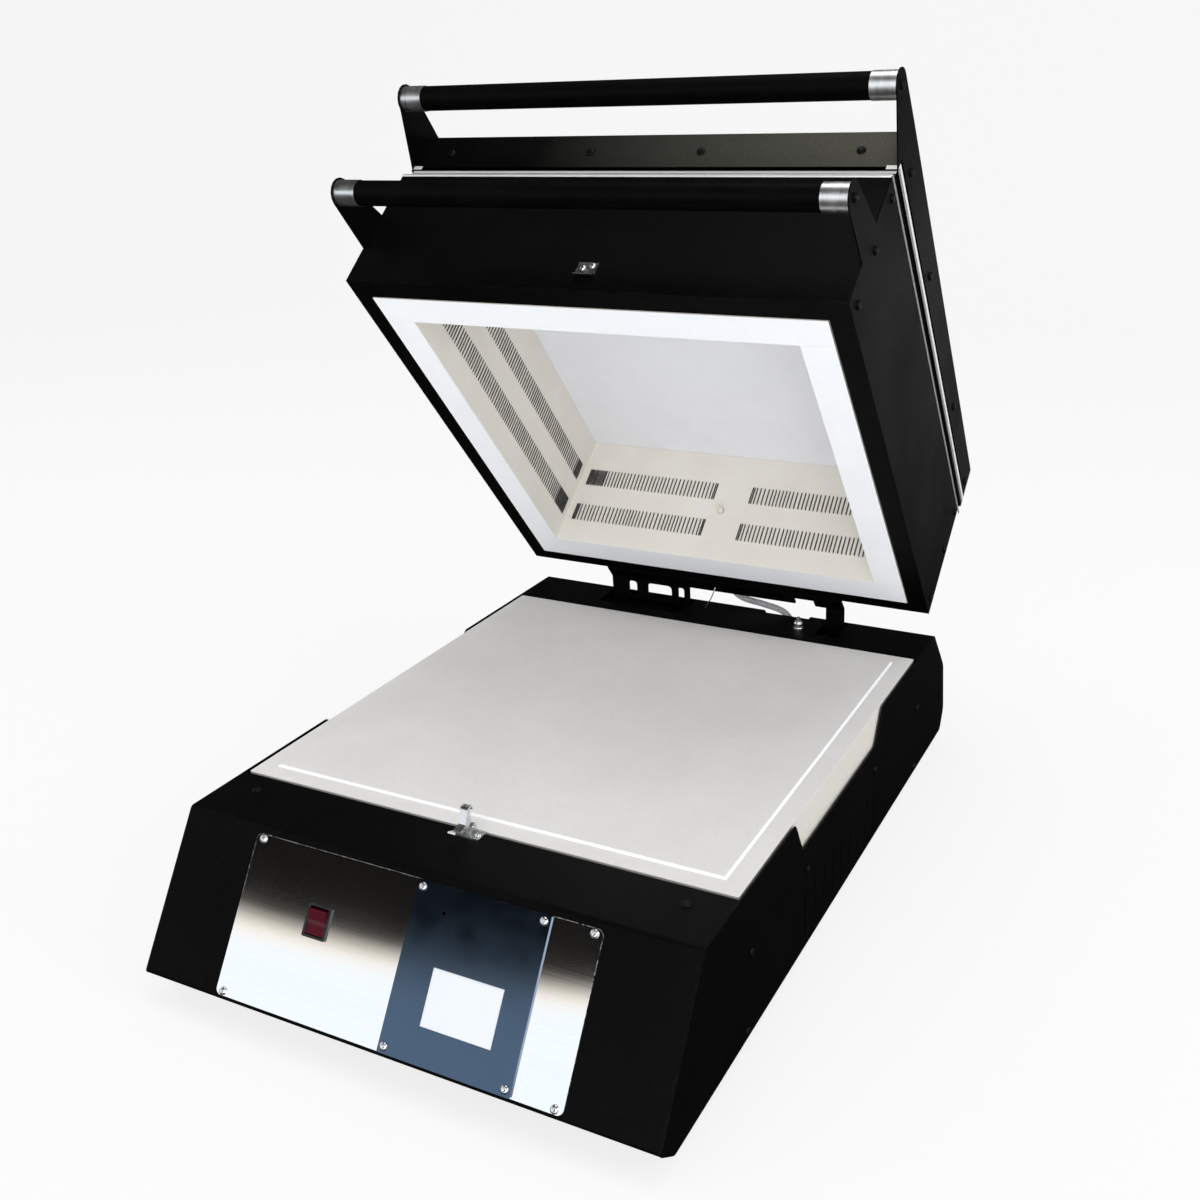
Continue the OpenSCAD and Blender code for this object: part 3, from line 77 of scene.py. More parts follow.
def place(x, y, z):
    """A point of the base, from the kiln's millimetres to the frame's metres."""
    return Vector((x, y - MID_Y, z + STAND_H)) / 1000


def ring_turn(dy, dz):
    """A step in the Y-Z plane of the closed ring, turned with the open ring."""
    c, s = math.cos(OPEN_ANGLE), math.sin(OPEN_ANGLE)
    return dy * c + dz * s, dz * c - dy * s


def ring_place(x, y, z):
    """A point of the closed chamber ring, carried to where the open ring holds it."""
    dy, dz = ring_turn(y - HINGE[0], z - HINGE[1])
    return place(x, HINGE[0] + dy, HINGE[1] + dz)


def ring_way(x, y, z):
    """A direction of the closed ring, turned with the open ring."""
    dy, dz = ring_turn(y, z)
    return Vector((x, dy, dz)).normalized()


def face_place(u, v, w):
    """A point on the sloping face: u to the right, v up the slope from its top edge, w outward."""
    c, s = math.cos(FACE_TILT), math.sin(FACE_TILT)
    return place(u, DECK_EDGE[0] + v * c - w * s, DECK_EDGE[1] + v * s + w * c)


def face_way(u, v, w):
    """A direction on the sloping face."""
    return (face_place(u, v, w) - face_place(0, 0, 0)).normalized()


# Camera at the photograph's viewing angle

def aim_camera():
    azimuth, elevation, roll = (math.radians(a) for a in CAMERA_ANGLES)
    back = Vector((math.sin(azimuth) * math.cos(elevation), -math.cos(azimuth) * math.cos(elevation),
                   math.sin(elevation)))
    right = (-back).cross(Vector((0, 0, 1))).normalized()
    up = right.cross(-back)
    across = math.cos(roll) * right + math.sin(roll) * up
    upward = -math.sin(roll) * right + math.cos(roll) * up
    data = bpy.data.cameras.new("kiln_camera")
    data.sensor_width = SENSOR_W
    data.lens = SENSOR_W * FOCAL_PX / PHOTO_PX
    camera = bpy.data.objects.new("kiln_camera", data)
    bpy.context.scene.collection.objects.link(camera)
    turn = Matrix((across, upward, back)).transposed().to_4x4()
    camera.matrix_world = Matrix.Translation(place(*CAMERA_AT)) @ turn
    bpy.context.scene.camera = camera


# Shader effects shared by several finishes

class Tree:
    """Short way to lay out shader nodes in one node tree."""

    def __init__(self, tree):
        self.tree = tree

    def add(self, kind, inputs=(), **settings):
        node = self.tree.nodes.new(kind)
        for key, value in settings.items():
            setattr(node, key, value)
        for key, value in dict(inputs).items():
            self.feed(value, node.inputs[key])
        return node

    def feed(self, value, socket):
        if isinstance(value, bpy.types.NodeSocket):
            self.tree.links.new(value, socket)
        else:
            socket.default_value = value

    def noise(self, vector, scale, detail=2.0, rough=0.5):
        return self.add("ShaderNodeTexNoise", {"Vector": vector, "Scale": scale, "Detail": detail,
                                               "Roughness": rough}).outputs["Fac"]

    def cells(self, vector, scale, feature="F1"):
        node = self.add("ShaderNodeTexVoronoi", {"Vector": vector, "Scale": scale}, feature=feature)
        return node.outputs["Distance"]

    def stretch(self, vector, amounts):
        return self.add("ShaderNodeVectorMath", {0: vector, 1: amounts}, operation="MULTIPLY").outputs[0]

    def math(self, operation, a, b=0.0, clamp=False):
        return self.add("ShaderNodeMath", {0: a, 1: b}, operation=operation, use_clamp=clamp).outputs[0]

    def remap(self, value, low, high, to_low=0.0, to_high=1.0):
        return self.add("ShaderNodeMapRange", {"Value": value, "From Min": low, "From Max": high,
                                               "To Min": to_low, "To Max": to_high}).outputs["Result"]

    def blend(self, mask, a, b):
        node = self.add("ShaderNodeMix", data_type="RGBA")
        for value, socket in ((mask, node.inputs[0]), (a, node.inputs[6]), (b, node.inputs[7])):
            self.feed(value, socket)
        return node.outputs[2]

    def bump(self, height, strength, distance):
        node = self.add("ShaderNodeBump", {"Height": height, "Strength": strength, "Distance": distance})
        return node.outputs["Normal"]

    def object_place(self):
        return self.add("ShaderNodeTexCoord").outputs["Object"]

    def axis(self, vector, letter):
        return self.add("ShaderNodeSeparateXYZ", {"Vector": vector}).outputs[letter]

    def dot(self, a, b):
        return self.add("ShaderNodeVectorMath", {0: a, 1: b}, operation="DOT_PRODUCT").outputs["Value"]


def effect(name, inputs, outputs):
    """A shader node group with named float or vector inputs and float outputs, still to be filled."""
    group = bpy.data.node_groups.new(name, "ShaderNodeTree")
    for label, default in inputs.items():
        kind = "NodeSocketVector" if isinstance(default, tuple) else "NodeSocketFloat"
        socket = group.interface.new_socket(name=label, in_out="INPUT", socket_type=kind)
        socket.default_value = default
    for label in outputs:
        group.interface.new_socket(name=label, in_out="OUTPUT", socket_type="NodeSocketFloat")
    tree = Tree(group)
    given = group.nodes.new("NodeGroupInput").outputs
    result = group.nodes.new("NodeGroupOutput").inputs
    return group, tree, given, result


def coat_grain_effect():
    """Sandy texture of powder coat: a fine height and a sparse glint mask."""
    group, t, given, result = effect("coat_grain", {"Grain size": 900.0}, ["Height", "Glint"])
    at = t.object_place()
    fine = t.noise(at, given["Grain size"], 3.0, 0.6)
    lumps = t.cells(at, given["Grain size"], "SMOOTH_F1")
    t.feed(t.math("ADD", fine, t.math("MULTIPLY", lumps, 0.5)), result["Height"])
    t.feed(t.remap(fine, 0.58, 0.72), result["Glint"])
    return group


def brushing_effect():
    """Long brush lines: streaks that vary across the lines and hardly along them."""
    group, t, given, result = effect("brushing", {"Stretch": (3.0, 900.0, 900.0)}, ["Streak", "Height"])
    at = t.stretch(t.object_place(), given["Stretch"])
    coarse = t.noise(at, 0.35, 4.0, 0.7)
    fine = t.noise(at, 1.3, 3.0, 0.65)
    t.feed(coarse, result["Streak"])
    t.feed(t.math("ADD", fine, t.math("MULTIPLY", coarse, 0.6)), result["Height"])
    return group


def handling_effect():
    """Soft clouds left by cleaning and hands, and a sparse dust mask."""
    group, t, given, result = effect("handling", {"Cloud size": 9.0}, ["Cloud", "Dust"])
    at = t.object_place()
    cloud = t.noise(at, given["Cloud size"], 5.0, 0.6)
    t.feed(t.remap(cloud, 0.35, 0.7), result["Cloud"])
    t.feed(t.math("MULTIPLY", t.remap(t.noise(at, 420.0, 2.0, 0.5), 0.68, 0.78), t.remap(cloud, 0.4, 0.6)),
           result["Dust"])
    return group


def edge_wear_and_highlight_effect():
    """Mask of a piece's corners, broken up by noise: rubbed wear on most finishes, and a painted highlight
    on the control plate's sawn edge.
    """
    group, t, given, result = effect("edge_wear_and_highlight", {"Width": 0.0007, "Break up": 120.0}, ["Edge"])
    soft = t.add("ShaderNodeBevel", {"Radius": given["Width"]}, samples=4).outputs[0]
    sharp = t.add("ShaderNodeNewGeometry").outputs["Normal"]
    edge = t.remap(t.dot(soft, sharp), 0.995, 0.9)
    patches = t.remap(t.noise(t.object_place(), given["Break up"], 3.0, 0.6), 0.42, 0.6)
    t.feed(t.math("MULTIPLY", edge, patches, clamp=True), result["Edge"])
    return group


def brick_pores_effect():
    """Open pores and soft tone of insulating brick."""
    group, t, given, result = effect("brick_pores", {"Pore size": 500.0}, ["Tone", "Pore", "Height"])
    at = t.object_place()
    tone = t.noise(at, 14.0, 5.0, 0.6)
    pits = t.cells(at, given["Pore size"])
    rough = t.noise(at, 260.0, 4.0, 0.65)
    pore = t.math("MULTIPLY", t.remap(pits, 0.28, 0.12), t.remap(rough, 0.5, 0.62), clamp=True)
    t.feed(tone, result["Tone"])
    t.feed(pore, result["Pore"])
    t.feed(t.math("SUBTRACT", rough, pore), result["Height"])
    return group


def facing_effect():
    """Mask of the faces that look along a given direction of the piece."""
    group, t, given, result = effect("facing", {"Way": (0.0, 0.0, 1.0), "Sharpness": 4.0}, ["Mask"])
    own = t.add("ShaderNodeTexCoord").outputs["Normal"]
    nearness = t.math("SUBTRACT", t.dot(own, given["Way"]), 0.75)
    t.feed(t.math("MULTIPLY", nearness, given["Sharpness"], clamp=True), result["Mask"])
    return group


GRAIN = coat_grain_effect()
BRUSHING = brushing_effect()
HANDLING = handling_effect()
EDGE_WEAR_AND_HIGHLIGHT = edge_wear_and_highlight_effect()
PORES = brick_pores_effect()
FACING = facing_effect()


# Finishes

class Finish(Tree):
    """A material whose shader takes plain values, with effects placed beside it."""

    def __init__(self, name, **plain):
        self.material = bpy.data.materials.new(name)
        self.material.use_nodes = True
        super().__init__(self.material.node_tree)
        self.shader = self.tree.nodes["Principled BSDF"]
        for label, value in plain.items():
            self.shader.inputs[label.replace("_", " ")].default_value = value

    def effect(self, group, **values):
        node = self.add("ShaderNodeGroup", node_tree=group)
        for label, value in values.items():
            node.inputs[label.replace("_", " ")].default_value = value
        return node.outputs

    def set(self, label, value):
        self.feed(value, self.shader.inputs[label])


def shade(r, g=None, b=None):
    """A colour from its three values, or a grey from one."""
    return (r, r if g is None else g, r if b is None else b, 1.0)


def ring_level(f):
    """Height over the closed ring's base plane, in metres, for a piece of the ring or the lid."""
    up = ring_way(0, 0, 1)
    return f.math("SUBTRACT", f.dot(f.object_place(), tuple(up)), up.dot(ring_place(0, 0, 0)))


def black_coat(name, grain_size=900.0, depth=0.00022, rough=0.5, lid=False):
    """Black powder coat. The lid's has a painted sheen that grows to the right, broken by the grain, and
    painted shadow at its lower edge.
    """
    f = Finish(name, Specular_IOR_Level=0.055)
    grain = f.effect(GRAIN, Grain_size=grain_size)
    hands = f.effect(HANDLING, Cloud_size=7.0)
    edge = f.effect(EDGE_WEAR_AND_HIGHLIGHT, Width=0.0006)["Edge"]
    base = f.blend(hands["Cloud"], shade(0.0009, 0.0009, 0.0008), shade(0.0019, 0.0019, 0.0018))
    base = f.blend(f.math("MULTIPLY", grain["Glint"], 0.2), base, shade(0.02, 0.02, 0.019))
    base = f.blend(f.math("MULTIPLY", hands["Dust"], 0.1), base, shade(0.1, 0.1, 0.095))
    base = f.blend(f.math("MULTIPLY", edge, 0.3), base, shade(0.035, 0.035, 0.035))
    if lid:
        across = f.axis(f.object_place(), "X")
        grit = f.remap(grain["Height"], 0.3, 0.9, 0.5, 1.0)
        # painted sheen: the lid's coat turns lighter toward the right, broken up by the grain
        painted_sheen = f.math("MULTIPLY", f.remap(across, -0.12, 0.24), grit)
        base = f.blend(painted_sheen, base, shade(0.086, 0.084, 0.068))
        # painted shadow: below about 172 mm over the ring's base the lid's panels go black and lose their
        # gloss
        painted_edge_shadow = f.remap(ring_level(f), 0.1722, 0.1712)
        base = f.blend(painted_edge_shadow, base, shade(0.0005))
        f.set("Specular IOR Level", f.remap(painted_edge_shadow, 0.0, 1.0, 0.06, 0.0))
    f.set("Base Color", base)
    f.set("Roughness", f.remap(hands["Cloud"], 0.0, 1.0, rough - 0.05, rough + 0.07))
    f.set("Normal", f.bump(grain["Height"], 0.8, depth))
    return f.material


def stainless(name, stretch, tone, rough, streaks, relief=0.1, rim=0.0):
    """Brushed steel. Streaks is how far the brush lines differ, and rim how bright the painted highlight
    on the sawn edge is.
    """
    f = Finish(name, Metallic=1.0)
    brush = f.effect(BRUSHING, Stretch=stretch)
    hands = f.effect(HANDLING, Cloud_size=11.0)
    spread = 0.02 + 0.7 * streaks
    dark, light = shade(*[tone * (1.0 - spread)] * 3), shade(*[tone * (1.0 + spread)] * 3)
    base = f.blend(f.remap(brush["Streak"], 0.3, 0.7), dark, light)
    base = f.blend(f.math("MULTIPLY", hands["Dust"], 0.12), base, shade(0.4))
    if rim:
        # painted highlight: the sawn edge turns pale and loses its metal look
        edge = f.math("MULTIPLY", f.effect(EDGE_WEAR_AND_HIGHLIGHT, Width=0.0009, Break_up=260.0)["Edge"], rim)
        base = f.blend(edge, base, shade(0.85))
        f.set("Metallic", f.math("SUBTRACT", 1.0, edge))
    f.set("Base Color", base)
    lines = f.remap(brush["Streak"], 0.25, 0.75, rough - streaks / 2, rough + streaks / 2)
    f.set("Roughness", f.math("ADD", lines, f.math("MULTIPLY", hands["Cloud"], rough * 0.15)))
    f.set("Normal", f.bump(brush["Height"], relief, 0.00004))
    return f.material


def rolled_lines(f):
    """Fine lines of rolled strip, lying level."""
    return f.noise(f.stretch(f.object_place(), (60.0, 60.0, 1400.0)), 1.0, 3.0, 0.6)


def bright_edge(name, low=0.7, high=0.94):
    """Thin strip of rolled steel seen nearly edge on, between two tones."""
    f = Finish(name, Metallic=0.3)
    lines = rolled_lines(f)
    dark, light = shade(low, low, low * 0.99), shade(high, high, high * 0.97)
    f.set("Base Color", f.blend(f.remap(lines, 0.3, 0.7), dark, light))
    f.set("Roughness", f.remap(lines, 0.3, 0.7, 0.36, 0.5))
    return f.material


def lid_edge_steel():
    """Pan edge under the lid's panels: one bright line in front, and painted shadow, near black and
    without gloss, on the rest in the gap.
    """
    f = Finish("lid_edge_steel", Metallic=0.25)
    level = ring_level(f)
    front = f.effect(FACING, Way=tuple(ring_way(0, -1, 0)))["Mask"]
    lines = rolled_lines(f)
    base = f.blend(f.remap(lines, 0.3, 0.7), shade(0.84, 0.85, 0.86), shade(0.97, 0.97, 0.95))
    # painted shadow: outside the front line between these levels the steel is drawn near black
    shown = f.math("MULTIPLY", f.remap(level, 0.1646, 0.165), f.remap(level, 0.169, 0.1686), clamp=True)
    f.set("Base Color", f.blend(f.math("MULTIPLY", shown, front), shade(0.004), base))
    f.set("Metallic", f.math("MULTIPLY", front, 0.25))
    f.set("Specular IOR Level", f.math("MULTIPLY", front, 0.5))
    f.set("Roughness", f.remap(lines, 0.3, 0.7, 0.36, 0.5))
    return f.material


def plated_steel():
    f = Finish("plated_steel", Metallic=1.0)
    hands = f.effect(HANDLING, Cloud_size=60.0)
    edge = f.effect(EDGE_WEAR_AND_HIGHLIGHT, Width=0.0004)["Edge"]
    base = f.blend(hands["Cloud"], shade(0.66, 0.66, 0.67), shade(0.8, 0.8, 0.79))
    f.set("Base Color", f.blend(edge, base, shade(0.92)))
    f.set("Roughness", f.remap(hands["Cloud"], 0.0, 1.0, 0.2, 0.34))
    f.set("Normal", f.bump(f.noise(f.object_place(), 900.0, 3.0), 0.12, 0.00008))
    return f.material


def galvanised():
    f = Finish("galvanised_sheet", Metallic=0.9)
    at = f.object_place()
    spangle = f.cells(at, 90.0)
    dark, light = shade(0.42, 0.44, 0.46), shade(0.56, 0.58, 0.6)
    f.set("Base Color", f.blend(f.remap(spangle, 0.1, 0.6), dark, light))
    f.set("Roughness", f.remap(spangle, 0.0, 0.7, 0.38, 0.55))
    return f.material


def hearth_face():
    """Pale fired slab: mottled and specked on top, plain at its sides, with painted light on faces turned
    up toward the front and right.
    """
    f = Finish("hearth_slab", Roughness=0.86, Specular_IOR_Level=0.25)
    at = f.object_place()
    tone = f.noise(at, 11.0, 5.0, 0.6)
    mottle = f.noise(at, 150.0, 4.0, 0.65)
    specks = f.remap(f.noise(at, 620.0, 1.0, 0.5), 0.69, 0.75)
    edge = f.effect(EDGE_WEAR_AND_HIGHLIGHT, Width=0.0018, Break_up=70.0)["Edge"]
    base = f.blend(f.remap(tone, 0.3, 0.7), shade(0.64, 0.63, 0.615), shade(0.685, 0.677, 0.662))
    base = f.blend(f.remap(mottle, 0.45, 0.75, 0.0, 0.22), base, shade(0.56, 0.545, 0.525))
    base = f.blend(f.math("MULTIPLY", specks, 0.3), base, shade(0.42, 0.37, 0.32))
    base = f.blend(f.math("MULTIPLY", edge, 0.5), base, shade(0.84, 0.84, 0.83))
    # painted light: sides turned up toward the front and right are drawn much whiter
    painted_lit_faces = f.effect(FACING, Way=(0.5, -0.5, 0.7071), Sharpness=8.0)["Mask"]
    sides = f.blend(painted_lit_faces, shade(0.62, 0.6, 0.56), shade(0.95, 0.97, 1.0))
    upper = f.effect(FACING, Way=(0.0, 0.0, 1.0))["Mask"]
    f.set("Base Color", f.blend(upper, sides, base))
    relief = f.math("ADD", mottle, f.math("MULTIPLY", f.noise(at, 1400.0, 2.0), 0.5))
    f.set("Normal", f.bump(relief, 0.4, 0.0003))
    return f.material


def firebrick():
    """Cream brick with open pores, whiter on the rim that meets the hearth."""
    f = Finish("firebrick", Roughness=0.92, Specular_IOR_Level=0.15)
    pores = f.effect(PORES, Pore_size=520.0)
    edge = f.effect(EDGE_WEAR_AND_HIGHLIGHT, Width=0.0012, Break_up=160.0)["Edge"]
    base = f.blend(f.remap(pores["Tone"], 0.3, 0.7), shade(0.83, 0.795, 0.725), shade(0.88, 0.855, 0.8))
    # the pores are real hollows in the bump; their darker colour is painted shade
    base = f.blend(f.math("MULTIPLY", pores["Pore"], 0.25), base, shade(0.6, 0.53, 0.43))
    base = f.blend(f.math("MULTIPLY", edge, 0.3), base, shade(0.92, 0.9, 0.85))
    rim = f.effect(FACING, Way=tuple(ring_way(0, 0, -1)))["Mask"]
    white = f.blend(f.remap(pores["Tone"], 0.3, 0.7), shade(0.86, 0.88, 0.92), shade(0.9, 0.92, 0.95))
    f.set("Base Color", f.blend(rim, base, white))
    f.set("Normal", f.bump(pores["Height"], 0.45, 0.0003))
    return f.material


def roof_board():
    f = Finish("roof_insulation", Roughness=0.94, Specular_IOR_Level=0.1)
    pores = f.effect(PORES, Pore_size=380.0)
    base = f.blend(f.remap(pores["Tone"], 0.3, 0.7), shade(0.845, 0.86, 0.91), shade(0.885, 0.9, 0.95))
    # the pores are real hollows in the bump; their darker colour is painted shade
    f.set("Base Color", f.blend(f.math("MULTIPLY", pores["Pore"], 0.2), base, shade(0.7, 0.66, 0.6)))
    f.set("Normal", f.bump(pores["Height"], 0.35, 0.0003))
    return f.material


def element_wire():
    f = Finish("element_wire", Metallic=0.35)
    at = f.object_place()
    oxide = f.noise(at, 230.0, 4.0, 0.65)
    base = f.blend(f.remap(oxide, 0.35, 0.65), shade(0.03, 0.027, 0.025), shade(0.11, 0.1, 0.092))
    f.set("Base Color", base)
    f.set("Roughness", f.remap(oxide, 0.3, 0.7, 0.5, 0.75))
    f.set("Normal", f.bump(f.noise(at, 1500.0, 3.0), 0.4, 0.0002))
    return f.material


def foam_grip():
    f = Finish("grip_rubber", Specular_IOR_Level=0.05)
    at = f.object_place()
    skin = f.noise(f.stretch(at, (0.4, 1.0, 1.0)), 900.0, 3.0, 0.6)
    hands = f.effect(HANDLING, Cloud_size=24.0)
    base = f.blend(hands["Cloud"], shade(0.0007, 0.0007, 0.0006), shade(0.0015, 0.0014, 0.0013))
    f.set("Base Color", f.blend(f.math("MULTIPLY", hands["Dust"], 0.12), base, shade(0.1)))
    f.set("Roughness", f.remap(hands["Cloud"], 0.0, 1.0, 0.5, 0.64))
    f.set("Normal", f.bump(skin, 0.4, 0.0002))
    return f.material


def moulded(name, colour, rough, grain=0.12, **plain):
    """Plain moulded or coated piece of one colour, a little cloudy."""
    f = Finish(name, **plain)
    at = f.object_place()
    cloud = f.noise(at, 40.0, 4.0, 0.6)
    lighter = tuple(min(1.0, c * 1.25 + 0.0004) for c in colour[:3]) + (1.0,)
    f.set("Base Color", f.blend(f.remap(cloud, 0.35, 0.7), colour, lighter))
    f.set("Roughness", f.remap(cloud, 0.3, 0.7, rough * 0.85, rough * 1.15))
    f.set("Normal", f.bump(f.noise(at, 1600.0, 2.0), grain, 0.0001))
    return f.material


def display():
    f = Finish("display_glass", Roughness=0.12, Specular_IOR_Level=0.3, Emission_Strength=0.04)
    at = f.object_place()
    haze = f.noise(at, 30.0, 3.0, 0.5)
    f.set("Base Color", f.blend(haze, shade(0.66, 0.69, 0.74), shade(0.7, 0.73, 0.78)))
    f.set("Emission Color", f.blend(haze, shade(0.92, 0.93, 0.97), shade(0.98, 0.98, 1.0)))
    return f.material


def rocker_red():
    f = Finish("rocker_red", Roughness=0.35, Specular_IOR_Level=0.15, Coat_Weight=0.25, Coat_Roughness=0.1)
    at = f.object_place()
    glow = f.noise(at, 90.0, 3.0, 0.5)
    f.set("Base Color", f.blend(glow, shade(0.045, 0.0008, 0.006), shade(0.075, 0.002, 0.01)))
    f.set("Normal", f.bump(f.noise(at, 1200.0, 2.0), 0.05, 0.0001))
    return f.material


def braid():
    f = Finish("braided_sleeve", Roughness=0.7, Sheen_Weight=0.3)
    at = f.object_place()
    weave = f.math("MULTIPLY", f.noise(at, 1100.0, 2.0), f.cells(at, 700.0))
    dark, light = shade(0.22, 0.225, 0.24), shade(0.5, 0.51, 0.53)
    f.set("Base Color", f.blend(f.remap(weave, 0.08, 0.35), dark, light))
    f.set("Normal", f.bump(weave, 0.6, 0.0005))
    return f.material


FINISHES = {
    "black_coat": black_coat("black_coat"),
    "coated_hardware": black_coat("coated_hardware", grain_size=1600.0, depth=0.00008, rough=0.42),
    "black_screws": moulded("black_screws", shade(0.0022, 0.0022, 0.0024), 0.4, Specular_IOR_Level=0.12),
    "plain_sheet": galvanised(),
    "stainless": bright_edge("trim_steel"),
    "bright_steel": plated_steel(),
    "controller_black": moulded("controller_overlay", shade(0.0005, 0.0008, 0.0012), 0.11, grain=0.03,
                                Specular_IOR_Level=1.9, Specular_Tint=shade(0.43, 0.66, 1.0)),
    "screen": display(),
    "board": moulded("circuit_board", shade(0.01, 0.12, 0.05), 0.35),
    "switch_body": moulded("switch_housing", shade(0.006, 0.006, 0.0065), 0.4),
    "switch_red": rocker_red(),
    "rubber_black": moulded("foot_rubber", shade(0.014, 0.014, 0.015), 0.72, grain=0.3),
    "electrics": moulded("relay_plastic", shade(0.03, 0.032, 0.04), 0.5),
    "winding": moulded("varnished_winding", shade(0.2, 0.12, 0.03), 0.3),
    "porcelain": moulded("porcelain", shade(0.72, 0.68, 0.6), 0.2),
    "hearth": hearth_face(),
    "firebrick": firebrick(),
    "fibre": roof_board(),
    "element_wire": element_wire(),
    "sensor_tube": moulded("sensor_tube", shade(0.74, 0.7, 0.62), 0.6),
    "sleeve": braid(),
    "grip_black": foam_grip(),
}
# the control plate's sawn edge carries a painted highlight
PLATE = stainless("control_plate_steel", (2.0, 2600.0, 2600.0), tone=0.8, rough=0.05, streaks=0.02,
                  relief=0.006, rim=0.9)
COLLAR = stainless("collar_steel", (900.0, 60.0, 60.0), tone=0.7, rough=0.32, streaks=0.2)
# lit and shaded copies of the rolled steel: a painted highlight on the beads, painted shade on the
# undersides and the ring's sides
BEAD_PAINTED_HIGHLIGHT = bright_edge("bead_steel_painted_highlight", low=0.86, high=0.99)
EDGE_PAINTED_SHADE = bright_edge("edge_steel_painted_shade", low=0.16, high=0.42)
SHADOW = moulded("joint_shadow", shade(0.0006), 0.9, Specular_IOR_Level=0.0)
LID_COAT = black_coat("lid_coat", lid=True)
BY_NODE = {
    "control_plate": PLATE,
    "ring_collars": COLLAR,
    "lid_collars": COLLAR,
    "lid_band": lid_edge_steel(),
    "lid_shell": LID_COAT,
}


def dress_nodes():
    """Gives every node of the solid model its finish."""
    for entry in frame["record"]["subparts"]:
        name, slot = entry["node"], entry["material_slot"]
        mesh_object = nodes[name]
        finish = BY_NODE.get(name, FINISHES[slot])
        if not mesh_object.material_slots:
            mesh_object.data.materials.append(finish)
        for holder in mesh_object.material_slots:
            holder.material = finish


# Pieces built for this kiln

def new_piece(name, points, faces, body, slot, finish=None, smooth=True):
    """A mesh of its own that rides on a body, if one is given."""
    mesh = bpy.data.meshes.new(name)
    mesh.from_pydata([tuple(p) for p in points], [], faces)
    mesh.validate()
    mesh.update()
    for polygon in mesh.polygons:
        polygon.use_smooth = smooth
    piece = bpy.data.objects.new(name, mesh)
    bpy.context.scene.collection.objects.link(piece)
    mesh.materials.append(finish or FINISHES[slot])
    if body:
        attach(piece, body)
    return piece


def tube_along(path, radius, sides, points, faces):
    """Adds a closed tube along a path to the lists of points and faces."""
    # a way that none of the paths starts along
    upward = Vector((0.13, 0.27, 0.95))
    first = len(points)
    last = len(path) - 1
    side_way = None
    for i, at in enumerate(path):
        way = (path[min(i + 1, last)] - path[max(i - 1, 0)]).normalized()
        if side_way is None:
            side_way = way.cross(upward).normalized()
        side_way = (side_way - way * side_way.dot(way)).normalized()
        other = way.cross(side_way)
        for k in range(sides):
            angle = 2 * math.pi * k / sides
            points.append(at + radius * (math.cos(angle) * side_way + math.sin(angle) * other))
    for i in range(last):
        for k in range(sides):
            a, b = first + i * sides + k, first + i * sides + (k + 1) % sides
            faces.append((a, b, b + sides, a + sides))
    faces.append(tuple(first + k for k in reversed(range(sides))))
    faces.append(tuple(first + last * sides + k for k in range(sides)))


# Heating coils, in the closed ring's millimetres. Each lies so far behind its wall's face and ends so far
# from the chamber's corners, and the front and back walls have a bare middle.
ROWS = (44.4, 98.9)
COIL_INSET = 8.4
COIL_END = 9.0
BARE_MIDDLE = (-17.0, 27.0)
COIL_PITCH = 4.9
WIRE_R = 0.95
COIL_R = 9.7 - WIRE_R
COIL_RISE = 13.3 - WIRE_R
STEPS = 14
# Width of a crowded turn among whole ones, stretch of a turn's back half, and roundness of its corners
CROWDED = 0.42
BACK_STRETCH = 1.5
CORNER = 0.15


def squared(swing):
    """Sine or cosine drawn out, so that a turn fills the corners of its square groove."""
    return math.copysign(abs(swing) ** CORNER, swing)


def coil_path(start, along, outward, length, crowd, shuffle):
    """Points of one wound coil in closed-ring millimetres, with so many crowded turns at its two ends."""
    rise = Vector((0, 0, 1))
    spare = length - 2 * WIRE_R - CROWDED * COIL_PITCH * sum(crowd)
    widths = [CROWDED] * crowd[0] + [1.0] * int(spare / COIL_PITCH) + [CROWDED] * crowd[1]
    reach = [0.0]
    for width in widths:
        reach.append(reach[-1] + width * shuffle.uniform(0.84, 1.16))
    path = []
    for i in range(len(widths) * STEPS + 1):
        turn = min(i // STEPS, len(widths) - 1)
        part = i / STEPS - turn
        gone = (reach[turn] + (reach[turn + 1] - reach[turn]) * part) / reach[-1]
        c, s = squared(math.cos(2 * math.pi * part)), squared(math.sin(2 * math.pi * part))
        depth = COIL_R * (c * BACK_STRETCH if c > 0 else c)
        path.append(start + along * (WIRE_R + gone * (length - 2 * WIRE_R)) + depth * outward
                    + COIL_RISE * s * rise)
    return path


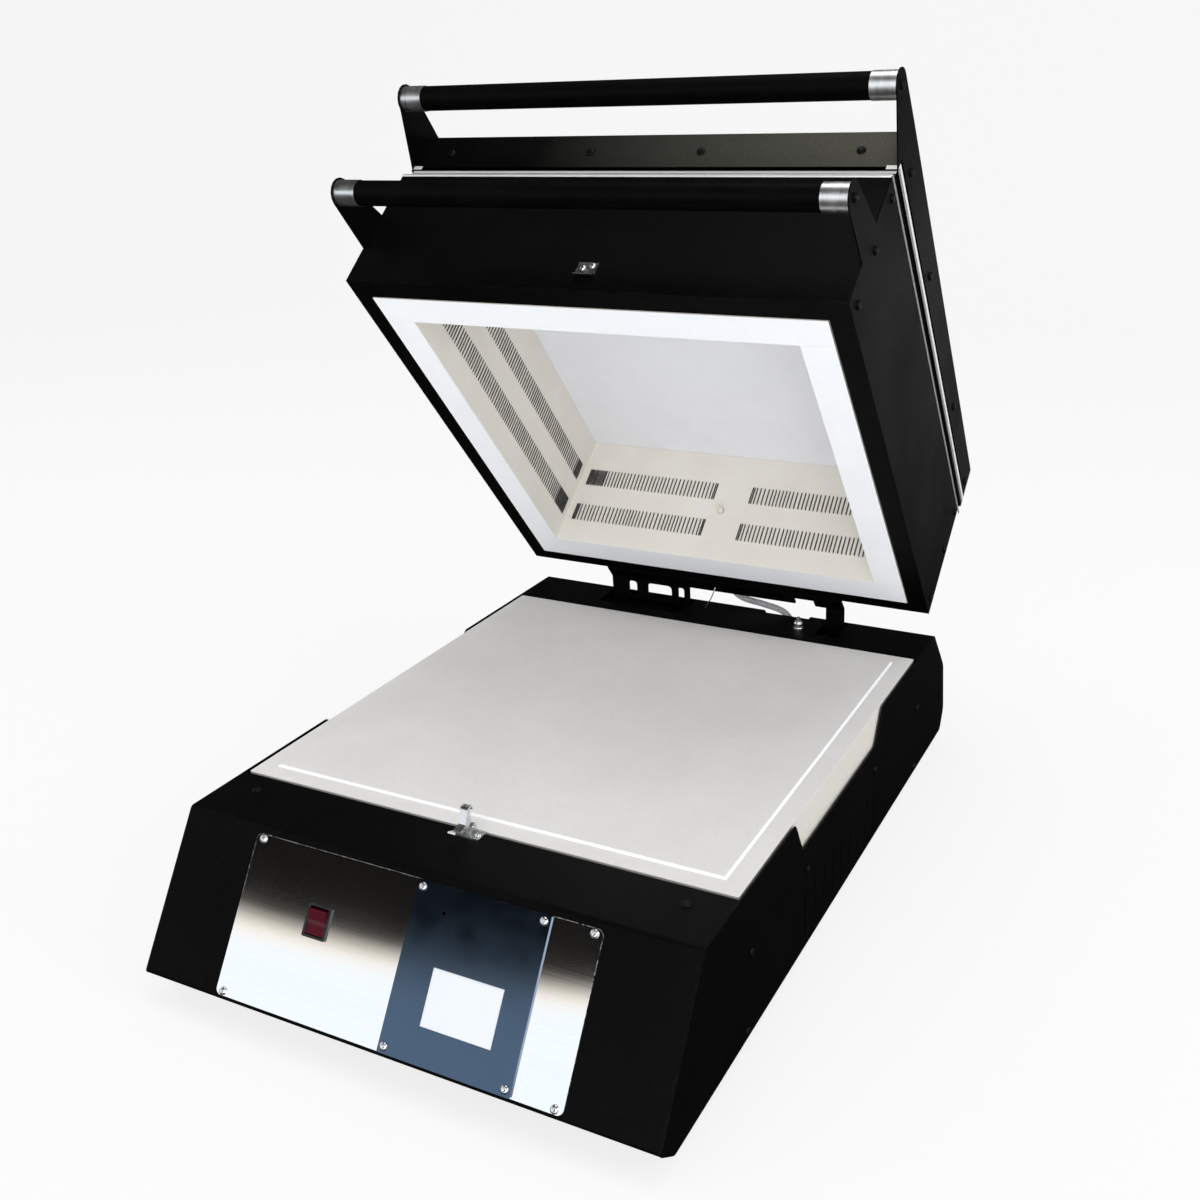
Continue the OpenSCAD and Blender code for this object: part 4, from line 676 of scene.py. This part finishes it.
def wind_elements():
    """Wound heating coils in the grooves of the four walls."""
    shuffle = random.Random(7)
    x, y, z = Vector((1, 0, 0)), Vector((0, 1, 0)), Vector((0, 0, 1))
    left, right = COIL_END - CHAMBER_HALF_W, CHAMBER_HALF_W - COIL_END
    near, far = CHAMBER_FRONT + COIL_END, CHAMBER_BACK - COIL_END
    front, back = CHAMBER_FRONT - COIL_INSET, CHAMBER_BACK + COIL_INSET
    aside = CHAMBER_HALF_W + COIL_INSET
    # each span's start, its length, and for each row the crowded turns at its two ends
    long_spans = (
        (left, BARE_MIDDLE[0] - left, ((3, 2), (12, 2))),
        (BARE_MIDDLE[1], right - BARE_MIDDLE[1], ((2, 3), (2, 4))),
    )
    walls = {
        "element_front": [(Vector((a, front, 0)), x, -y, n, crowds) for a, n, crowds in long_spans],
        "element_back": [(Vector((a, back, 0)), x, y, n, crowds) for a, n, crowds in long_spans],
        "element_left": [(Vector((-aside, near, 0)), y, -x, far - near, ((2, 14), (2, 7)))],
        "element_right": [(Vector((aside, near, 0)), y, x, far - near, ((2, 5), (2, 8)))],
    }
    for node, spans in walls.items():
        points, faces = [], []
        for row, height in enumerate(ROWS):
            for start, along, outward, length, crowds in spans:
                closed = coil_path(start + z * height, along, outward, length, crowds[row], shuffle)
                tube_along([ring_place(*p) for p in closed], WIRE_R / 1000, 5, points, faces)
        coil = new_piece("coils_" + node, points, faces, "ring", "element_wire")
        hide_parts(node)


def add_slab(low, high, points, faces):
    """Adds a box given in closed-ring millimetres."""
    first = len(points)
    for x in (low[0], high[0]):
        for y in (low[1], high[1]):
            points += [ring_place(x, y, z) for z in (low[2], high[2])]
    corners = ((0, 1, 3, 2), (4, 6, 7, 5), (0, 4, 5, 1), (2, 3, 7, 6), (0, 2, 6, 4), (1, 5, 7, 3))
    faces += [tuple(first + k for k in face) for face in corners]


def add_side_pair(inner, outer, ends, levels, points, faces):
    """Adds two like boxes, left and right, between two distances from the middle."""
    for side in (-1, 1):
        left, right = sorted((side * inner, side * outer))
        add_slab((left, ends[0], levels[0]), (right, ends[1], levels[1]), points, faces)


def bed_elements():
    """Firebrick between the ribs of each coil, a little proud of the wall: only the ribs stand out."""
    proud, depth, reach = 0.15, 19.0, 13.6
    half, front, back = CHAMBER_HALF_W, CHAMBER_FRONT, CHAMBER_BACK
    points, faces = [], []
    for height in ROWS:
        low, high = height - reach, height + reach
        add_slab((-half, front - depth, low), (half, front + proud, high), points, faces)
        add_slab((-half, back - proud, low), (half, back + depth, high), points, faces)
        add_side_pair(half - proud, half + depth, (front, back), (low, high), points, faces)
    new_piece("element_beds", points, faces, "ring", "firebrick", smooth=False)


def edge_strips():
    """Thin strips along the joint of lid and ring: beads with a painted highlight, edges in painted shade
    and the painted shadow over them.
    """
    gap = 0.02
    half, corner, back = RING_HALF_W, 256.0, LID_BACK
    strips = (
        ("lid_bead", "stainless", BEAD_PAINTED_HIGHLIGHT, (170.6, 175.0), 0.5),
        ("lid_bead_underside", "stainless", EDGE_PAINTED_SHADE, (166.2, 170.6), 0.4),
        ("lid_bead_shadow", "black_coat", SHADOW, (175.0, 180.0), 0.3),
    )
    for name, slot, finish, levels, out in strips:
        points, faces = [], []
        add_side_pair(half + gap, half + out, (LID_FRONT, back), levels, points, faces)
        if name == "lid_bead":
            # its ends turn the corners onto the lid's front
            ends = (LID_FRONT - out, LID_FRONT - gap)
            add_side_pair(corner, half + out, ends, (168.4, 172.8), points, faces)
        new_piece(name, points, faces, "lid", slot, finish, smooth=False)
    points, faces = [], []
    add_slab((0.6 - half, -0.4, 148.9), (half - 0.6, -gap, 151.1), points, faces)
    new_piece("ring_front_bead", points, faces, "ring", "stainless", BEAD_PAINTED_HIGHLIGHT, smooth=False)
    points, faces = [], []
    add_side_pair(half + gap, half + 0.4, (0.5, back), (149.6, 153.3), points, faces)
    new_piece("ring_side_bead", points, faces, "ring", "stainless", EDGE_PAINTED_SHADE, smooth=False)


def pan_head(at, way, radius, height, points, faces):
    """Adds a domed pan head with a cross recess, standing on its sheet."""
    way = way.normalized()
    side = way.cross(Vector((0.31, 0.2, 0.93))).normalized()
    other = way.cross(side)
    around = 32
    slot_floor = 0.4
    # each ring's reach, its lift in the four slots and its lift between them
    dome = ((1.0, 0.0), (1.0, 0.34), (0.93, 0.6), (0.78, 0.84), (0.6, 0.97), (0.5, 1.0))
    rings = [(reach, lift, lift) for reach, lift in dome]
    rings += [(0.46, 0.95, 1.0), (0.3, 0.45, 0.98), (0.14, slot_floor, 0.5)]
    first = len(points)
    for reach, slot_lift, land_lift in rings:
        for k in range(around):
            angle = 2 * math.pi * k / around
            lift = slot_lift if abs(math.cos(2 * angle)) > 0.86 else land_lift
            outward = math.cos(angle) * side + math.sin(angle) * other
            points.append(at + radius * reach * outward + way * height * lift)
    for i in range(len(rings) - 1):
        for k in range(around):
            a, b = first + i * around + k, first + i * around + (k + 1) % around
            faces.append((a, b, b + around, a + around))
    centre = len(points)
    points.append(at + way * height * slot_floor)
    inmost = centre - around
    for k in range(around):
        faces.append((inmost + k, inmost + (k + 1) % around, centre))
    faces.append(tuple(first + k for k in reversed(range(around))))


def panel_screws():
    """Cross-head screws of the control panel and the latch."""
    points, faces = [], []
    out, up = face_way(0, 0, 1), Vector((0, 0, 1))
    plate_top, plate_skin, panel_skin = -7.0, 1.2, 3.2
    panel_x, panel_half_w, latch_half_w = 67.5, 60.5, 11.5
    for u, v in ((-174, -145), (174, -145), (174, -4.5), (-174, -4.5)):
        pan_head(face_place(u, plate_top + v, plate_skin), out, 0.0038, 0.0021, points, faces)
    for u in (panel_x - panel_half_w, panel_x + panel_half_w):
        for v in (-6.0, -143.0):
            pan_head(face_place(u, plate_top + v, panel_skin), out, 0.0038, 0.0021, points, faces)
    for x in (LATCH_X - latch_half_w, LATCH_X + latch_half_w):
        pan_head(place(x, -11, 0), up, 0.0032, 0.002, points, faces)
    screws = new_piece("bright_panel_screws", points, faces, "base", "bright_steel")
    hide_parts("panel_screws")


def smooth_curve(knots, per_span):
    """A smooth path through the knots. The first and the last only steer it."""
    path = []
    for i in range(1, len(knots) - 2):
        a, b, c, d = knots[i - 1:i + 3]
        for k in range(per_span):
            t = k / per_span
            path.append(0.5 * (2 * b + (c - a) * t + (2 * a - 5 * b + 4 * c - d) * t ** 2
                               + (3 * b - a - 3 * c + d) * t ** 3))
    path.append(knots[-2])
    return path


def run_sensor_lead():
    """Braided sleeve and bare earth wire from the ring's back down into the hood."""
    exit_at = ring_place(0, RING_D, 26)
    way = ring_way(0, 1, 0)
    knots = [exit_at + reach * way for reach in (-0.0024, -0.0014, 0.006, 0.014)]
    hood_route = ((3, 613, 26), (20, 613, 12), (50, 613, 7), (76, 613, 1), (88, 614, -14),
                  (90, 614.5, -40), (90, 614.5, -61.7), (90, 614.5, -72))
    knots += [place(*p) for p in hood_route]
    points, faces = [], []
    tube_along(smooth_curve(knots, 6), 0.004, 12, points, faces)
    lead = new_piece("sensor_sleeve", points, faces, None, "sleeve")
    wire_route = ((-6, 592.5, 34), (-7, 589.3, 30.2), (-12, 588, 16), (-20, 590, 2), (-22, 591, -1.2),
                  (-23, 590, -8))
    points, faces = [], []
    tube_along(smooth_curve([place(*p) for p in wire_route], 5), 0.0007, 8, points, faces)
    earth = new_piece("earth_wire", points, faces, None, "bright_steel")
    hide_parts("sensor_lead")
    return lead, earth


# Studio

def light_studio():
    """Even pale light for diffuse rays; mirrors see a dark room over a bright low horizon."""
    world = bpy.data.worlds.new("studio")
    bpy.context.scene.world = world
    world.use_nodes = True
    t = Tree(world.node_tree)
    ground = world.node_tree.nodes["Background"]
    path = t.add("ShaderNodeLightPath").outputs
    way = t.add("ShaderNodeTexCoord").outputs["Generated"]
    horizon, slant = 0.505, 0.32
    lift = t.math("SUBTRACT", t.axis(way, "Z"), t.math("MULTIPLY", t.axis(way, "X"), slant))
    room = t.remap(lift, horizon, horizon + 0.014, 1.3, 0.008)
    cool, warm = shade(0.88, 0.94, 1.0), shade(1.0, 0.92, 0.8)
    seen = t.blend(t.remap(lift, horizon - 0.011, horizon + 0.003), cool, warm)
    t.feed(t.blend(path["Is Glossy Ray"], shade(1.0), seen), ground.inputs["Color"])
    plain = t.math("ADD", t.remap(path["Is Diffuse Ray"], 0.0, 1.0, 0.4, 0.7),
                   t.math("MULTIPLY", path["Is Camera Ray"], 0.5))
    strength = t.add("ShaderNodeMix", {0: path["Is Glossy Ray"], 2: plain, 3: room}).outputs[0]
    t.feed(strength, ground.inputs["Strength"])
    # place, width and height in metres, and watts
    lamps = (
        ("front_softbox", (0.9, -3.3, 2.0), 2.4, 1.8, 23.0),
        ("low_softbox", (0.9, -2.6, 0.3), 2.4, 0.5, 17.0),
        ("side_softbox", (3.0, 0.0, 1.6), 1.6, 1.6, 27.0),
        ("left_softbox", (-3.0, -0.6, 1.7), 1.6, 1.6, 14.0),
        ("top_softbox", (0.1, 0.4, 3.2), 1.7, 1.7, 27.0),
    )
    aim = Vector((0, 0, 0.35))
    for name, at, wide, high, power in lamps:
        data = bpy.data.lights.new(name, "AREA")
        data.shape = "RECTANGLE"
        data.size, data.size_y, data.energy = wide, high, power
        lamp = bpy.data.objects.new(name, data)
        bpy.context.scene.collection.objects.link(lamp)
        lamp.location = at
        lamp.rotation_euler = (aim - Vector(at)).to_track_quat("-Z", "Y").to_euler()


def backdrop_paper():
    """Paper that shows white to the camera, and in mirrors is bright only low at the back."""
    f = Finish("backdrop_paper", Roughness=0.9, Specular_IOR_Level=0.1)
    at = f.object_place()
    path = f.add("ShaderNodeLightPath").outputs
    paper = f.blend(f.noise(at, 2.0, 2.0), shade(0.86), shade(0.88))
    back, low = f.remap(f.axis(at, "Y"), 0.7, 3.0), f.remap(f.axis(at, "Z"), 0.9, 0.3)
    mirrored = f.blend(f.math("MULTIPLY", back, low), shade(0.04), shade(0.65))
    unseen = f.blend(path["Is Diffuse Ray"], mirrored, paper)
    f.set("Base Color", f.blend(path["Is Camera Ray"], unseen, shade(0.15)))
    f.set("Emission Color", shade(1.0))
    f.set("Emission Strength", f.math("MULTIPLY", path["Is Camera Ray"], 0.8))
    return f.material


def lay_backdrop():
    """One pale sheet: a floor that sweeps up behind the kiln."""
    radius, front, back, half, high = 1.5, -7.0, 3.2, 8.0, 6.0
    profile = [(front, 0.0), (back, 0.0)]
    profile += [(back + radius * math.sin(a), radius - radius * math.cos(a))
                for a in (math.pi / 2 * k / 16 for k in range(1, 17))]
    profile.append((back + radius, high))
    points = [(x, y, z) for y, z in profile for x in (-half, half)]
    faces = [(2 * i, 2 * i + 1, 2 * i + 3, 2 * i + 2) for i in range(len(profile) - 1)]
    mesh = bpy.data.meshes.new("backdrop")
    mesh.from_pydata(points, [], faces)
    for polygon in mesh.polygons:
        polygon.use_smooth = True
    sheet = bpy.data.objects.new("backdrop", mesh)
    bpy.context.scene.collection.objects.link(sheet)
    mesh.materials.append(backdrop_paper())


aim_camera()
dress_nodes()
wind_elements()
bed_elements()
panel_screws()
edge_strips()
sleeve, earth = run_sensor_lead()
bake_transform(sleeve)
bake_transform(earth)
light_studio()
lay_backdrop()
bpy.context.scene.view_settings.view_transform = "Standard"
